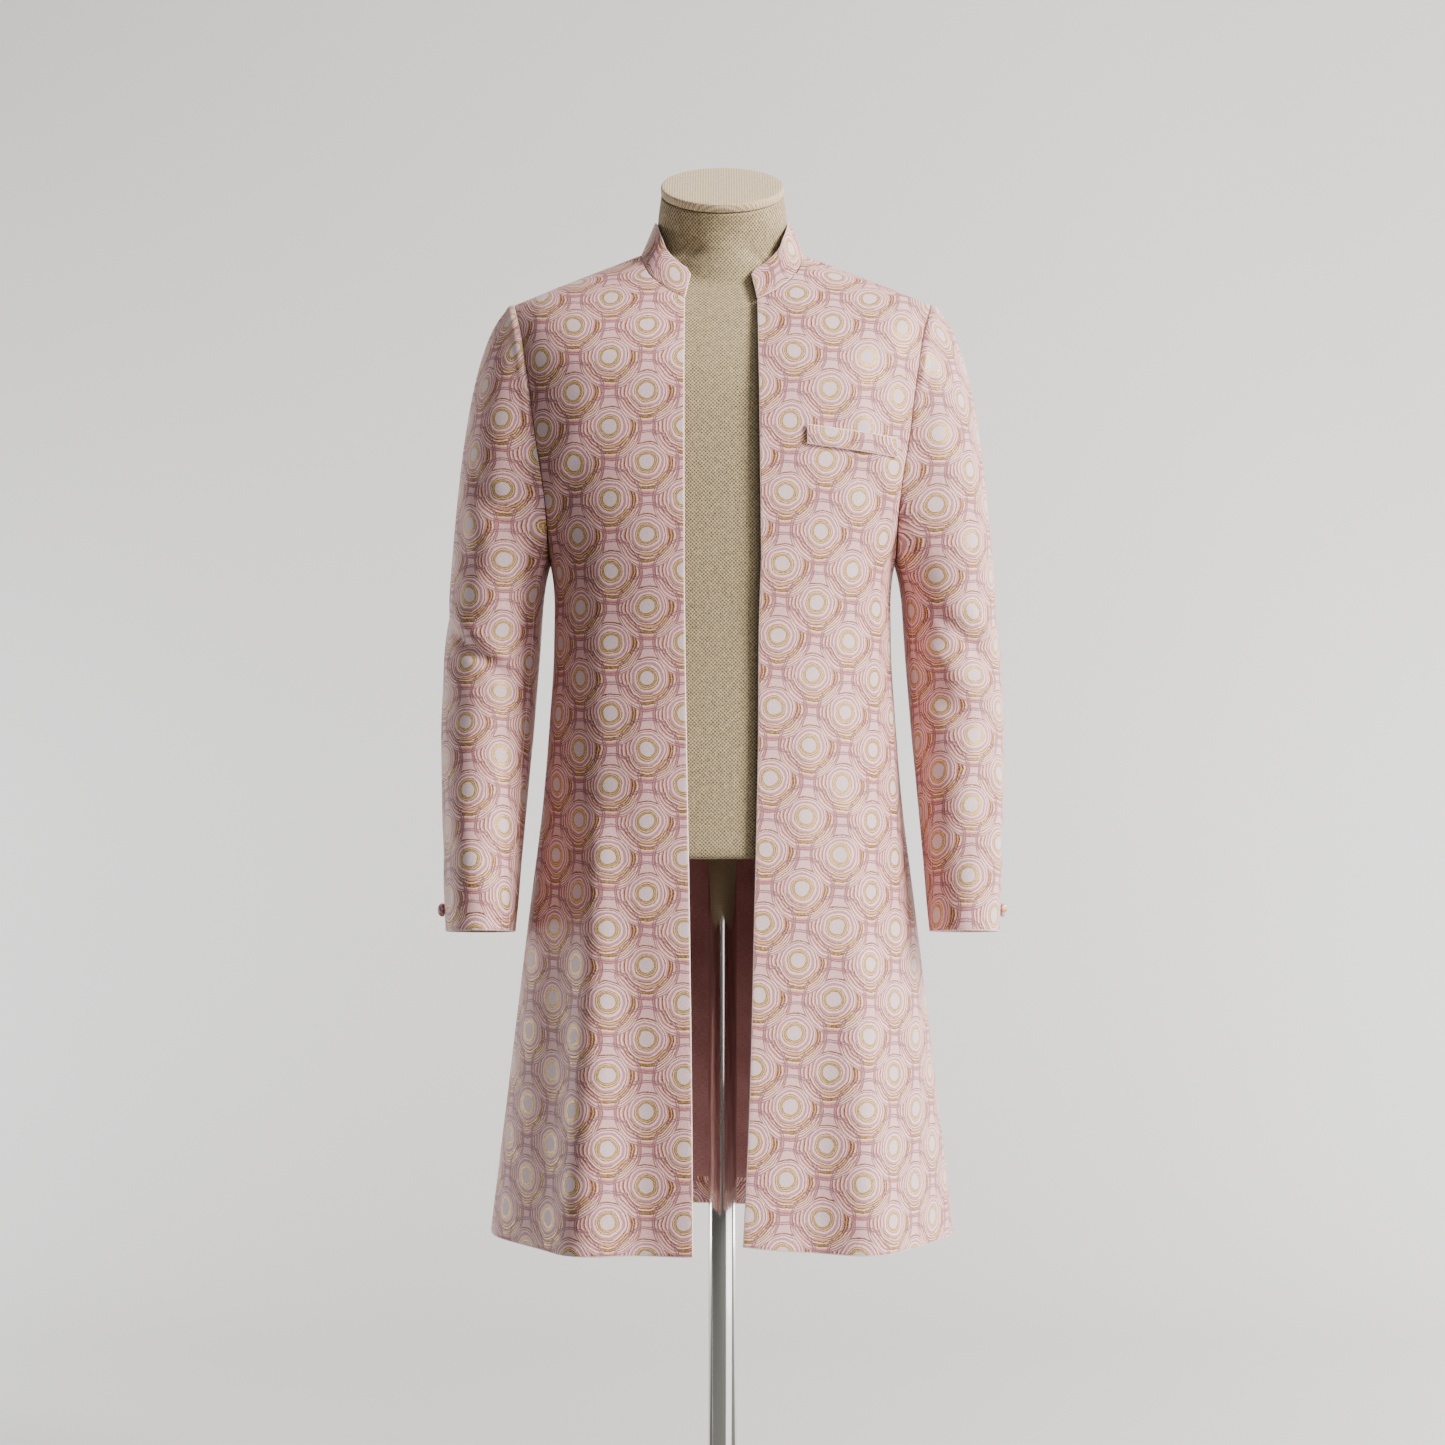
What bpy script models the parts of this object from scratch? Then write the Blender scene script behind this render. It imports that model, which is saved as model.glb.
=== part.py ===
"""A knee-length open-front coat with a band collar, worn on a limbless dress form.

Metres, +Z up. The coat faces -Y and its centre line is X = 0. +X is the viewer's right.
"""
import math

import bpy
import numpy as np

for old in list(bpy.data.objects):
    bpy.data.objects.remove(old, do_unlink=True)

# Driving sizes
TINY = 1e-12
CLOTH = 0.0018
SEAM_GAP = 0.0003
HEM_Z = 0.469
ARMPIT_Z = 1.165
SHOULDER_POINT = (0.2180, 1.438)
NECK_POINT = (0.0856, 1.490)
SHOULDER_SLOPE = (NECK_POINT[1] - SHOULDER_POINT[1]) / (SHOULDER_POINT[0] - NECK_POINT[0])
COLLAR_HEIGHT = 0.038

# Horizontal sections of the coat body, one row a height
SECTION_COLUMNS = ("height", "half_width", "front_depth", "back_depth", "squareness")
SECTIONS = (
    (1.450, 0.2360, 0.104, 0.100, 2.60),
    (1.380, 0.2260, 0.118, 0.110, 2.60),
    (1.290, 0.2180, 0.126, 0.114, 2.60),
    (1.230, 0.2060, 0.126, 0.112, 2.50),
    (1.165, 0.1805, 0.123, 0.107, 2.50),
    (1.081, 0.1765, 0.117, 0.099, 2.40),
    (1.000, 0.1812, 0.119, 0.103, 2.35),
    (0.922, 0.1875, 0.124, 0.110, 2.30),
    (0.800, 0.2025, 0.135, 0.123, 2.20),
    (0.600, 0.2265, 0.156, 0.145, 2.10),
    (0.469, 0.2425, 0.168, 0.158, 2.05),
)

# Armhole seam on the front of the coat, one row a height
ARMHOLE_COLUMNS = ("height", "half_width")
ARMHOLE = (
    (1.438, 0.2180),
    (1.396, 0.2066),
    (1.360, 0.2007),
    (1.330, 0.1965),
    (1.290, 0.1914),
    (1.250, 0.1850),
    (1.208, 0.1808),
    (1.165, 0.1805),
)

# Front neckline, from the centre edge out to the neck point
NECKLINE_COLUMNS = ("x", "height")
NECKLINE = (
    (0.0340, 1.4335),
    (0.0385, 1.4350),
    (0.0514, 1.4418),
    (0.0635, 1.4504),
    (0.0757, 1.4619),
    (0.0831, 1.4770),
    (0.0856, 1.4900),
)
BACK_NECK_DEPTH = 0.070
BACK_NECK_REACH = 0.100
FRONT_NECK_REACH = 0.170
NAPE_RISE = 0.014
SHOULDER_REACH = 0.085

# The chest rounds over from the shoulder line, in one way near the neck and another at the shoulder
NEAR_NECK_X = 0.04
NECK_TO_SHOULDER = 0.15
FRONT_NECK_POWER = 1.6
BACK_NECK_POWER = 2.0
SHOULDER_POWER = 2.0

# Open front edges, distance of each from the centre line
EDGE_COLUMNS = ("height", "left", "right")
FRONT_EDGES = (
    (1.435, 0.0385, 0.0355),
    (1.355, 0.0385, 0.0388),
    (1.205, 0.0384, 0.0398),
    (1.103, 0.0378, 0.0366),
    (0.980, 0.0360, 0.0356),
    (0.811, 0.0330, 0.0318),
    (0.575, 0.0300, 0.0252),
    (0.469, 0.0292, 0.0203),
)
EDGE_TOP_Z = FRONT_EDGES[0][0]

# Points along a path before it is shared out evenly
PATH_STEPS = 200
NECK_STEPS = 60
SHOULDER_STEPS = 90

# Soft folds of the skirt. Angles go round from the front centre, + to the viewer's right
FOLD_COLUMNS = ("angle", "half_angle", "top_height", "height_at_hem")
FOLDS = (
    (-33, 11, 0.96, 0.017),
    (-16, 8, 0.80, -0.005),
    (-62, 13, 0.86, -0.006),
    (35, 11, 0.92, 0.016),
    (18, 8, 0.78, -0.005),
    (66, 13, 0.90, -0.006),
    (-112, 13, 0.88, 0.007),
    (-142, 14, 0.95, -0.008),
    (-164, 12, 0.84, 0.009),
    (172, 11, 0.90, -0.007),
    (146, 13, 0.97, 0.010),
    (118, 12, 0.82, -0.006),
)
FOLD_POWER = 1.4

# The right front hangs a little shorter at its open edge
RIGHT_EDGE_LIFT = 0.0105
RIGHT_EDGE_LIFT_WIDTH = 0.45

# Sleeve sections below the armhole, level across and square to the sleeve's lean
SLEEVE_COLUMNS = ("height", "outer_x", "inner_x", "centre_y", "half_depth")
SLEEVE_SECTIONS = (
    (1.120, 0.2880, 0.1885, 0.004, 0.0680),
    (1.081, 0.2912, 0.1911, 0.006, 0.0660),
    (1.033, 0.2938, 0.1948, 0.004, 0.0640),
    (0.992, 0.2950, 0.1978, -0.002, 0.0620),
    (0.953, 0.2937, 0.2010, -0.011, 0.0600),
    (0.905, 0.2920, 0.2048, -0.022, 0.0575),
    (0.857, 0.2904, 0.2085, -0.033, 0.0550),
    (0.812, 0.2878, 0.2115, -0.043, 0.0525),
    (0.784, 0.2858, 0.2140, -0.0485, 0.0505),
)
SLEEVE_CUFF_Z = 0.784
TILT_STEP = 0.02
FRONT_SLEEVE_SEAM = 150
HIND_SLEEVE_SEAM = -115

# Dress form and its stand
FORM_CLEARANCE = 0.0009
FORM_BOTTOM_Z = 0.862
NECK_HALF_WIDTH = 0.0645
NECK_FRONT_DEPTH = 0.0560
NECK_BACK_DEPTH = 0.0500
CAP_RADIUS = 0.0640
CAP_DEPTH_RADIUS = 0.0600
CAP_CENTRE = (-0.0200, 1.5590)
CAP_TILT = math.radians(29)
CAP_THICKNESS = 0.0090
POLE_RADIUS = 0.0150
BASE_RADIUS = 0.2100
HUB_RADIUS = 0.0300
HUB_TOP_Z = 0.0450
RIM_Z = 0.008
UNDER_BEVEL = 0.002
TOP_BEVEL = 0.003
HUB_FILLET = 0.004
PLATE_AT_HUB_Z = 0.014

# Small pieces on the coat
WELT_LEFT = (0.0844, 1.2907)
WELT_RIGHT = (0.1764, 1.2800)
WELT_HEIGHT = 0.0200
WELT_THICKNESS = 0.0016
BUTTON_RADIUS = 0.0070
BUTTON_RISE = 0.0070
BUTTON_Z = 0.8060


def column(table, names, name):
    """One named column of a table."""
    return np.array([row[names.index(name)] for row in table], float)


def smooth(table, names, name, at):
    """Value of a column at a height, on a smooth curve through the rows."""
    height = column(table, names, names[0])
    value = column(table, names, name)
    order = np.argsort(height)
    height = height[order]
    value = value[order]
    slope = np.gradient(value, height)
    at = np.clip(at, height[0], height[-1])
    low = np.clip(np.searchsorted(height, at) - 1, 0, len(height) - 2)
    step = height[low + 1] - height[low]
    t = (at - height[low]) / step
    start = (1 + 2 * t) * (1 - t) ** 2 * value[low] + t * (1 - t) ** 2 * step * slope[low]
    end = t * t * (3 - 2 * t) * value[low + 1] + t * t * (t - 1) * step * slope[low + 1]
    return start + end


def section(name, at):
    return smooth(SECTIONS, SECTION_COLUMNS, name, at)


def ridge(x, back=False):
    """Height of the shoulder line at a distance from the centre, rounded over between the neck points."""
    share = np.clip(np.abs(x) / NECK_POINT[0], 0, 1)
    neck = NECK_POINT[0] * SHOULDER_SLOPE * (1 - share**2) / 2
    nape = (NAPE_RISE if back else 0) * (1 - share**2) ** 2
    return NECK_POINT[1] + neck + nape - np.clip(np.abs(x) - NECK_POINT[0], 0, None) * SHOULDER_SLOPE


def roll_over(drop, x, back):
    """How far the chest has reached its full depth at a drop below the shoulder line, 0 to 1."""
    across = np.clip((np.abs(x) - NEAR_NECK_X) / NECK_TO_SHOULDER, 0, 1)
    reach = (BACK_NECK_REACH if back else FRONT_NECK_REACH) * (1 - across) + SHOULDER_REACH * across
    power = (BACK_NECK_POWER if back else FRONT_NECK_POWER) * (1 - across) + SHOULDER_POWER * across
    left = 1 - np.clip(drop / reach, 0, 1)
    return (1 - left**power) ** (1 / power)


def fold_height(angle, z):
    """How far the skirt stands out in its folds at an angle in degrees."""
    height = 0.0
    for centre, half, top, rise in FOLDS:
        away = (angle - centre + 180) % 360 - 180
        down = np.clip((top - z) / (top - HEM_Z), 0, 1)
        height = height + rise * down**FOLD_POWER * np.exp(-((away / half) ** 2))
    return height


def on_body(angle, z):
    """A point on the outside of the coat body, at an angle in degrees round from the front centre."""
    turn = np.radians(angle)
    power = 2 / section("squareness", z)
    back = np.abs(angle) > 90
    wide = section("half_width", z)
    deep = np.where(back, section("back_depth", z), section("front_depth", z))
    x = wide * np.sign(np.sin(turn)) * np.abs(np.sin(turn)) ** power
    y = -deep * np.sign(np.cos(turn)) * np.abs(np.cos(turn)) ** power
    out_x = np.sin(turn) / wide
    out_y = -np.cos(turn) / deep
    size = np.hypot(out_x, out_y)
    rise = fold_height(angle, z)
    return np.stack([x + rise * out_x / size, y + rise * out_y / size, z + 0 * x], axis=-1)


def on_chest(x, z, back=False):
    """A point on the outside of the coat above the armpit, at a distance from the centre."""
    wide = section("half_width", z)
    deep = section("back_depth" if back else "front_depth", z)
    power = section("squareness", z)
    depth = deep * np.clip(1 - (np.abs(x) / wide) ** power, 0, 1) ** (1 / power)
    y = depth * roll_over(ridge(x, back) - z, x, back)
    return np.stack([x, y if back else -y, z + 0 * x], axis=-1)


def armhole_x(z):
    return smooth(ARMHOLE, ARMHOLE_COLUMNS, "half_width", z)


def at_fractions(path, fractions):
    """Points of a path at fractions of its length."""
    steps = np.linalg.norm(np.diff(path, axis=0), axis=1)
    along = np.concatenate([[0], np.cumsum(steps)])
    along = along / along[-1]
    return np.stack([np.interp(fractions, along, path[:, k]) for k in range(3)], axis=1)


def fraction_of(path, index):
    steps = np.linalg.norm(np.diff(path, axis=0), axis=1)
    return steps[:index].sum() / steps.sum()


def neckline_front(side, count):
    """Front neckline from the open edge to the neck point."""
    edge = smooth(FRONT_EDGES, EDGE_COLUMNS, "right" if side > 0 else "left", EDGE_TOP_Z)
    x = edge + (NECK_POINT[0] - edge) * np.sin(np.linspace(0, math.pi / 2, count))
    z = np.interp(x, column(NECKLINE, NECKLINE_COLUMNS, "x"), column(NECKLINE, NECKLINE_COLUMNS, "height"))
    return x, z


def neckline_back(count):
    """Back neckline from the centre to the neck point."""
    turn = np.linspace(0, math.pi / 2, count)
    x = NECK_POINT[0] * np.sin(turn)
    share = BACK_NECK_DEPTH * np.cos(turn) / section("back_depth", NECK_POINT[1])
    z = ridge(x, True) - BACK_NECK_REACH * (1 - np.sqrt(1 - share**2))
    return x, z


def upper_row(side, back, level):
    """One row between the shoulder line (level 0) and the armpit (level 1), from the middle outwards."""
    neck_x, neck_z = neckline_back(NECK_STEPS) if back else neckline_front(side, NECK_STEPS)
    bottom_x = 0.0 if back else smooth(FRONT_EDGES, EDGE_COLUMNS, "right" if side > 0 else "left", ARMPIT_Z)
    top_x = np.concatenate([neck_x, np.linspace(NECK_POINT[0], SHOULDER_POINT[0], SHOULDER_STEPS)[1:]])
    top_z = np.concatenate([neck_z, ridge(top_x[NECK_STEPS:])])
    outer_z = SHOULDER_POINT[1] + (ARMPIT_Z - SHOULDER_POINT[1]) * level
    spread = (top_x - top_x[0]) / (top_x[-1] - top_x[0])
    spread = spread * (1 - level) + np.sin(spread * math.pi / 2) * level
    inner_x = top_x[0] * (1 - level) + bottom_x * level
    x = inner_x + (armhole_x(outer_z) - inner_x) * spread
    z = top_z * (1 - level) + ARMPIT_Z * level
    return on_chest(x, z, back)


# Rows crowd toward the shoulder line, where the body turns most
ROW_CROWDING = 1.3


def panel_rows(side, back, columns, neck_column, upper_rows, skirt_rows):
    """Rows of points of half the body, from its middle out to the armhole and side seam."""
    rows = []
    for k in range(upper_rows + 1):
        level = (0.5 - 0.5 * math.cos(math.pi * k / upper_rows)) ** ROW_CROWDING
        path = upper_row(side, back, level)
        even = np.linspace(0, 1, columns + 1)
        at_neck = fraction_of(path, NECK_STEPS - 1)
        held = np.interp(even, [0, neck_column / columns, 1], [0, at_neck, 1])
        rows.append(at_fractions(path, held * (1 - level) + even * level))
    even = np.linspace(0, 1, columns + 1)
    edge_share = np.clip(1 - even / RIGHT_EDGE_LIFT_WIDTH, 0, 1) ** 2
    for z in np.linspace(ARMPIT_Z, HEM_Z, skirt_rows + 1)[1:]:
        row = at_fractions(skirt_path(side, back, z), even)
        if side > 0 and not back:
            down = (ARMPIT_Z - z) / (ARMPIT_Z - HEM_Z)
            row[:, 2] += RIGHT_EDGE_LIFT * down**2 * edge_share
        rows.append(row)
    grid = np.array(rows)
    grid[:, :, 0] *= side
    return grid


def skirt_path(side, back, z):
    """Outside of the body at one height, from the front edge or the back centre to the side seam."""
    if back:
        angle = np.linspace(180, 90, PATH_STEPS)
        return on_body(angle * side, z) * (side, 1, 1)
    edge = smooth(FRONT_EDGES, EDGE_COLUMNS, "right" if side > 0 else "left", z)
    power = section("squareness", z) / 2
    start = math.degrees(math.asin((edge / section("half_width", z)) ** power))
    angle = np.linspace(start, 90, PATH_STEPS)
    return on_body(angle * side, z) * (side, 1, 1)


def unit(vectors):
    """The vectors at length 1."""
    return vectors / np.maximum(np.linalg.norm(vectors, axis=-1, keepdims=True), TINY)


def trimmed(grid, first_row=0, last_row=0, first_column=0, last_column=0):
    """The grid with its edges drawn in by half a seam gap where a number isn't 0."""
    grid = grid.copy()
    for edge, inner, share in (
        (np.s_[0, :], np.s_[1, :], first_row),
        (np.s_[-1, :], np.s_[-2, :], last_row),
        (np.s_[:, 0], np.s_[:, 1], first_column),
        (np.s_[:, -1], np.s_[:, -2], last_column),
    ):
        if share:
            grid[edge] += unit(grid[inner] - grid[edge]) * share * SEAM_GAP
    return grid


def normals(grid):
    """Unit normals of a grid of points, by its neighbours along rows and columns."""
    down = np.gradient(grid, axis=0)
    across = np.gradient(grid, axis=1)
    return unit(np.cross(across, down))


def material(name, colour, roughness, metallic=0.0):
    made = bpy.data.materials.new(name)
    made.use_nodes = True
    shader = made.node_tree.nodes["Principled BSDF"]
    shader.inputs["Base Color"].default_value = (*colour, 1)
    shader.inputs["Roughness"].default_value = roughness
    shader.inputs["Metallic"].default_value = metallic
    made.diffuse_color = (*colour, 1)
    return made


def solid(name, points, faces, finish, smooth_faces=True):
    mesh = bpy.data.meshes.new(name)
    mesh.from_pydata([tuple(p) for p in points], [], faces)
    mesh.validate()
    mesh.materials.append(finish)
    mesh.polygons.foreach_set("use_smooth", [smooth_faces] * len(mesh.polygons))
    made = bpy.data.objects.new(name, mesh)
    bpy.context.scene.collection.objects.link(made)
    return made


def signed_volume(points, faces):
    total = 0.0
    for face in faces:
        for k in range(1, len(face) - 1):
            a, b, c = points[face[0]], points[face[k]], points[face[k + 1]]
            total += np.dot(a, np.cross(b, c)) / 6
    return total


def facing_out(points, faces):
    return faces if signed_volume(points, faces) > 0 else [face[::-1] for face in faces]


def outward_normals(grid, middle):
    """Normals that point away from a place inside the garment."""
    normal = normals(grid)
    return normal * np.sign(((grid - np.array(middle)) * normal).sum())


def wall(name, grid, normal, finish, thickness=CLOTH):
    """A closed wall of cloth: the grid is its outside, and its inside is moved in by the thickness."""
    inner = grid - normal * thickness
    rows, columns = grid.shape[:2]
    points = np.concatenate([grid.reshape(-1, 3), inner.reshape(-1, 3)])
    place = np.arange(rows * columns).reshape(rows, columns)
    under = place + rows * columns
    faces = []
    for r in range(rows - 1):
        for c in range(columns - 1):
            faces.append((place[r, c], place[r, c + 1], place[r + 1, c + 1], place[r + 1, c]))
            faces.append((under[r, c], under[r + 1, c], under[r + 1, c + 1], under[r, c + 1]))
    rim = [*place[0, :], *place[1:, -1], *place[-1, -2::-1], *place[-2:0:-1, 0]]
    for a, b in zip(rim, rim[1:] + rim[:1]):
        faces.append((b, a, a + rows * columns, b + rows * columns))
    faces = [tuple(int(k) for k in face) for face in faces]
    return solid(name, points, facing_out(points, faces), finish)


def stacked(name, rings, finish, smooth_faces=True):
    """A whole solid through closed rings of points, with a flat end on the first and last."""
    rings = np.array(rings)
    count, around = rings.shape[:2]
    points = list(rings.reshape(-1, 3))
    faces = []
    for r in range(count - 1):
        for k in range(around):
            n = (k + 1) % around
            faces.append((r * around + k, r * around + n, (r + 1) * around + n, (r + 1) * around + k))
    for ring, start in ((rings[0], 0), (rings[-1], (count - 1) * around)):
        points.append(ring.mean(axis=0))
        centre = len(points) - 1
        for k in range(around):
            corner = (start + (k + 1) % around, start + k, centre)
            faces.append(corner if start == 0 else corner[::-1])
    points = np.array(points)
    return solid(name, points, facing_out(points, faces), finish, smooth_faces)


def turned(profile, around, centre, axis, name, finish):
    """A solid of revolution: the profile's columns are the radius and the distance along the axis."""
    axis = unit(np.array(axis, float))
    helper = np.array((1.0, 0, 0)) if axis[2] else np.array((0, 0, 1.0))
    first = unit(np.cross(axis, helper))
    second = np.cross(axis, first)
    turn = np.linspace(0, 2 * math.pi, around, endpoint=False)
    rings = []
    for radius, along in profile:
        spoke = np.outer(np.cos(turn), first) + np.outer(np.sin(turn), second)
        rings.append(np.array(centre) + spoke * radius + axis * along)
    return stacked(name, rings, finish)


# Finishes
brocade = material("pale rose ring brocade", (0.74, 0.52, 0.49), 0.62)
collar_brocade = material("pale rose ring brocade, collar", (0.74, 0.52, 0.49), 0.62)
button_cloth = material("brocade over button mould", (0.72, 0.50, 0.47), 0.60)
linen = material("natural linen", (0.40, 0.33, 0.25), 0.85)
cap_linen = material("natural linen, cap", (0.50, 0.42, 0.33), 0.85)
steel = material("polished steel tube", (0.62, 0.62, 0.62), 0.22, 1.0)
base_steel = material("satin steel plate", (0.55, 0.55, 0.55), 0.35, 1.0)

# Front panels, open all the way down, and the back in one piece between the side seams
HALF = 0.5
UPPER_ROWS = 13
SKIRT_ROWS = 21
FRONT_COLUMNS = 12
BACK_COLUMNS = 11
NECK_COLUMN = 4
BODY_MIDDLE = (0, 0, 1.0)
front_grids = {}
front_normals = {}
half_backs = {}
for side, word in ((-1, "left"), (1, "right")):
    grid = panel_rows(side, False, FRONT_COLUMNS, NECK_COLUMN, UPPER_ROWS, SKIRT_ROWS)
    front_grids[word] = grid
    front_normals[word] = outward_normals(grid, BODY_MIDDLE)
    half_backs[word] = panel_rows(side, True, BACK_COLUMNS, NECK_COLUMN, UPPER_ROWS, SKIRT_ROWS)
back_grid = np.concatenate([half_backs["left"][:, ::-1], half_backs["right"][:, 1:]], axis=1)
back_normal = outward_normals(back_grid, BODY_MIDDLE)

# Both sides of a seam share its normals, so that the walls meet square
for side, word, edge in ((-1, "left", 0), (1, "right", -1)):
    shoulder_up = unit(np.array((side * SHOULDER_SLOPE, 0, 1.0)))
    normal = front_normals[word]
    normal[0, NECK_COLUMN:] = shoulder_up
    shared = unit(normal[UPPER_ROWS:, -1] + back_normal[UPPER_ROWS:, edge])
    normal[UPPER_ROWS:, -1] = shared
    back_normal[UPPER_ROWS:, edge] = shared
    shoulder = np.s_[: BACK_COLUMNS - NECK_COLUMN + 1] if side < 0 else np.s_[BACK_COLUMNS + NECK_COLUMN :]
    back_normal[0, shoulder] = shoulder_up
    fitted = trimmed(front_grids[word], first_row=HALF, last_column=HALF)
    wall("front_" + word, fitted, normal, brocade)
fitted_back = trimmed(back_grid, first_row=HALF, first_column=HALF, last_column=HALF)
wall("back", fitted_back, back_normal, brocade)


# Band collar, standing on the neckline and leaning in to the neck
COLLAR_STEPS = 40


def neck_ring():
    """The whole neckline, from the right front edge round the back to the left front edge."""
    right_x, right_z = neckline_front(1, COLLAR_STEPS)
    left_x, left_z = neckline_front(-1, COLLAR_STEPS)
    back_x, back_z = neckline_back(COLLAR_STEPS)
    right = on_chest(right_x, right_z)
    back_right = on_chest(back_x, back_z, True)[::-1]
    back_left = on_chest(-back_x, back_z, True)
    left = on_chest(-left_x, left_z)[::-1]
    return np.concatenate([right, back_right[1:], back_left[1:], left[1:]])


COLLAR_COLUMNS = 30
COLLAR_ROWS = 3
COLLAR_BASE = 0.0010
# Lean toward the neck in degrees, by the way round from the back centre (0) to the front edge (1)
LEAN_COLUMNS = ("way_round", "lean")
COLLAR_LEAN = (
    (0.00, 10),
    (0.45, 21),
    (0.75, 28),
    (1.00, 33),
)
base_line = at_fractions(neck_ring(), np.linspace(0, 1, COLLAR_COLUMNS + 1))
base_line[1:-1] = 0.25 * base_line[:-2] + 0.5 * base_line[1:-1] + 0.25 * base_line[2:]
along = np.gradient(base_line, axis=0)
toward_neck = unit(np.stack([-along[:, 1], along[:, 0], 0 * along[:, 0]], axis=1))
toward_neck *= np.sign((-base_line * toward_neck).sum(axis=1))[:, None]
round_fraction = np.abs(np.linspace(-1, 1, COLLAR_COLUMNS + 1))
lean_stops = column(COLLAR_LEAN, LEAN_COLUMNS, "way_round")
lean = np.radians(np.interp(round_fraction, lean_stops, column(COLLAR_LEAN, LEAN_COLUMNS, "lean")))
collar_rows = []
for k in range(COLLAR_ROWS + 1):
    up = COLLAR_BASE + (COLLAR_HEIGHT - COLLAR_BASE) * (1 - k / COLLAR_ROWS)
    rise = np.stack([0 * lean, 0 * lean, np.cos(lean)], axis=1) + toward_neck * np.sin(lean)[:, None]
    collar_rows.append(base_line + rise * up)
collar_grid = np.array(collar_rows)
COLLAR_MIDDLE = (0, 0, 1.5)
wall("collar", collar_grid, outward_normals(collar_grid, COLLAR_MIDDLE), collar_brocade)


# Sleeves: a top sleeve and an under sleeve, set in the armhole
def armhole_loop(side, angle):
    """The armhole seam at an angle in degrees: 0 the shoulder point, 90 the front, 180 the armpit."""
    level = np.linspace(0, 1, PATH_STEPS)
    drop = 0.5 - 0.5 * np.cos(math.pi * level)
    z = SHOULDER_POINT[1] + (ARMPIT_Z - SHOULDER_POINT[1]) * drop
    path = on_chest(armhole_x(z), z, back=False)
    if angle > 180 or angle < 0:
        path = on_chest(armhole_x(z), z, back=True)
    share = abs((angle + 180) % 360 - 180) / 180
    point = at_fractions(path, [share])[0]
    return point * (side, 1, 1)


def sleeve_section(side, angle, z):
    """A point of the sleeve below the armhole, at an angle and a height of the sleeve's middle."""
    values = [smooth(SLEEVE_SECTIONS, SLEEVE_COLUMNS, name, z) for name in SLEEVE_COLUMNS[1:]]
    outer_x, inner_x, centre_y, half_depth = values
    ahead = smooth(SLEEVE_SECTIONS, SLEEVE_COLUMNS, "centre_y", z + TILT_STEP)
    behind = smooth(SLEEVE_SECTIONS, SLEEVE_COLUMNS, "centre_y", z - TILT_STEP)
    tilt = math.atan2(ahead - behind, 2 * TILT_STEP)
    turn = math.radians(angle)
    across = (outer_x + inner_x) / 2 + (outer_x - inner_x) / 2 * math.cos(turn)
    forward = half_depth * math.sin(turn)
    point = np.array((across, centre_y - forward * math.cos(tilt), z + forward * math.sin(tilt)))
    return point * (side, 1, 1)


TOP_SLEEVE_COLUMNS = 16
UNDER_SLEEVE_COLUMNS = 6
UPPER_ARM_Z = SLEEVE_SECTIONS[0][0]
CAP_STEPS = (0, 0.04, 0.10, 0.18, 0.28, 0.40, 0.54, 0.69, 0.84, 1)
SLEEVE_LEVELS = (1.085, 1.050, 1.015, 0.980, 0.945, 0.905, 0.865, 0.825, SLEEVE_CUFF_Z)
SLEEVE_MIDDLE = (0.24, 0, 1.05)
# How the sleeve head leaves the armhole, by a place round it: -1 the armpit, 0 the front, 1 the shoulder
HEAD_COLUMNS = ("place", "out", "down")
HEAD_LEAVES = (
    (-1, 0.30, 0.95),
    (0, 0.80, 0.30),
    (1, 0.46, 0.22),
)
HEAD_ARRIVES = (0.08, 0.02, -0.95)


def sleeve_head(side, angle, t):
    """A point of the sleeve head, between the armhole at t = 0 and the upper arm at t = 1."""
    start = armhole_loop(side, angle)
    end = sleeve_section(side, angle, UPPER_ARM_Z)
    length = np.linalg.norm(end - start)
    place = column(HEAD_LEAVES, HEAD_COLUMNS, "place")
    out = np.interp(math.cos(math.radians(angle)), place, column(HEAD_LEAVES, HEAD_COLUMNS, "out"))
    down = np.interp(math.cos(math.radians(angle)), place, column(HEAD_LEAVES, HEAD_COLUMNS, "down"))
    leave = np.array((side * out, 0, -down)) * length
    arrive = np.array(HEAD_ARRIVES) * (side, 1, 1) * length
    return (
        (1 + 2 * t) * (1 - t) ** 2 * start
        + t * t * (3 - 2 * t) * end
        + t * (1 - t) ** 2 * leave
        + t * t * (t - 1) * arrive
    )


def sleeve_grid(side, angles):
    rows = [[sleeve_head(side, angle, t) for angle in angles] for t in CAP_STEPS]
    rows += [[sleeve_section(side, angle, z) for angle in angles] for z in SLEEVE_LEVELS]
    return np.array(rows)


# A cuff button, by shares of its radius and of its rise
BUTTON_SHAPE = (
    (0.80, 0.00),
    (1.00, 0.22),
    (0.96, 0.50),
    (0.78, 0.78),
    (0.45, 0.95),
    (0.15, 1.00),
)
BUTTON_AROUND = 16
button_profile = [(BUTTON_RADIUS * wide, BUTTON_RISE * high) for wide, high in BUTTON_SHAPE]

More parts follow.
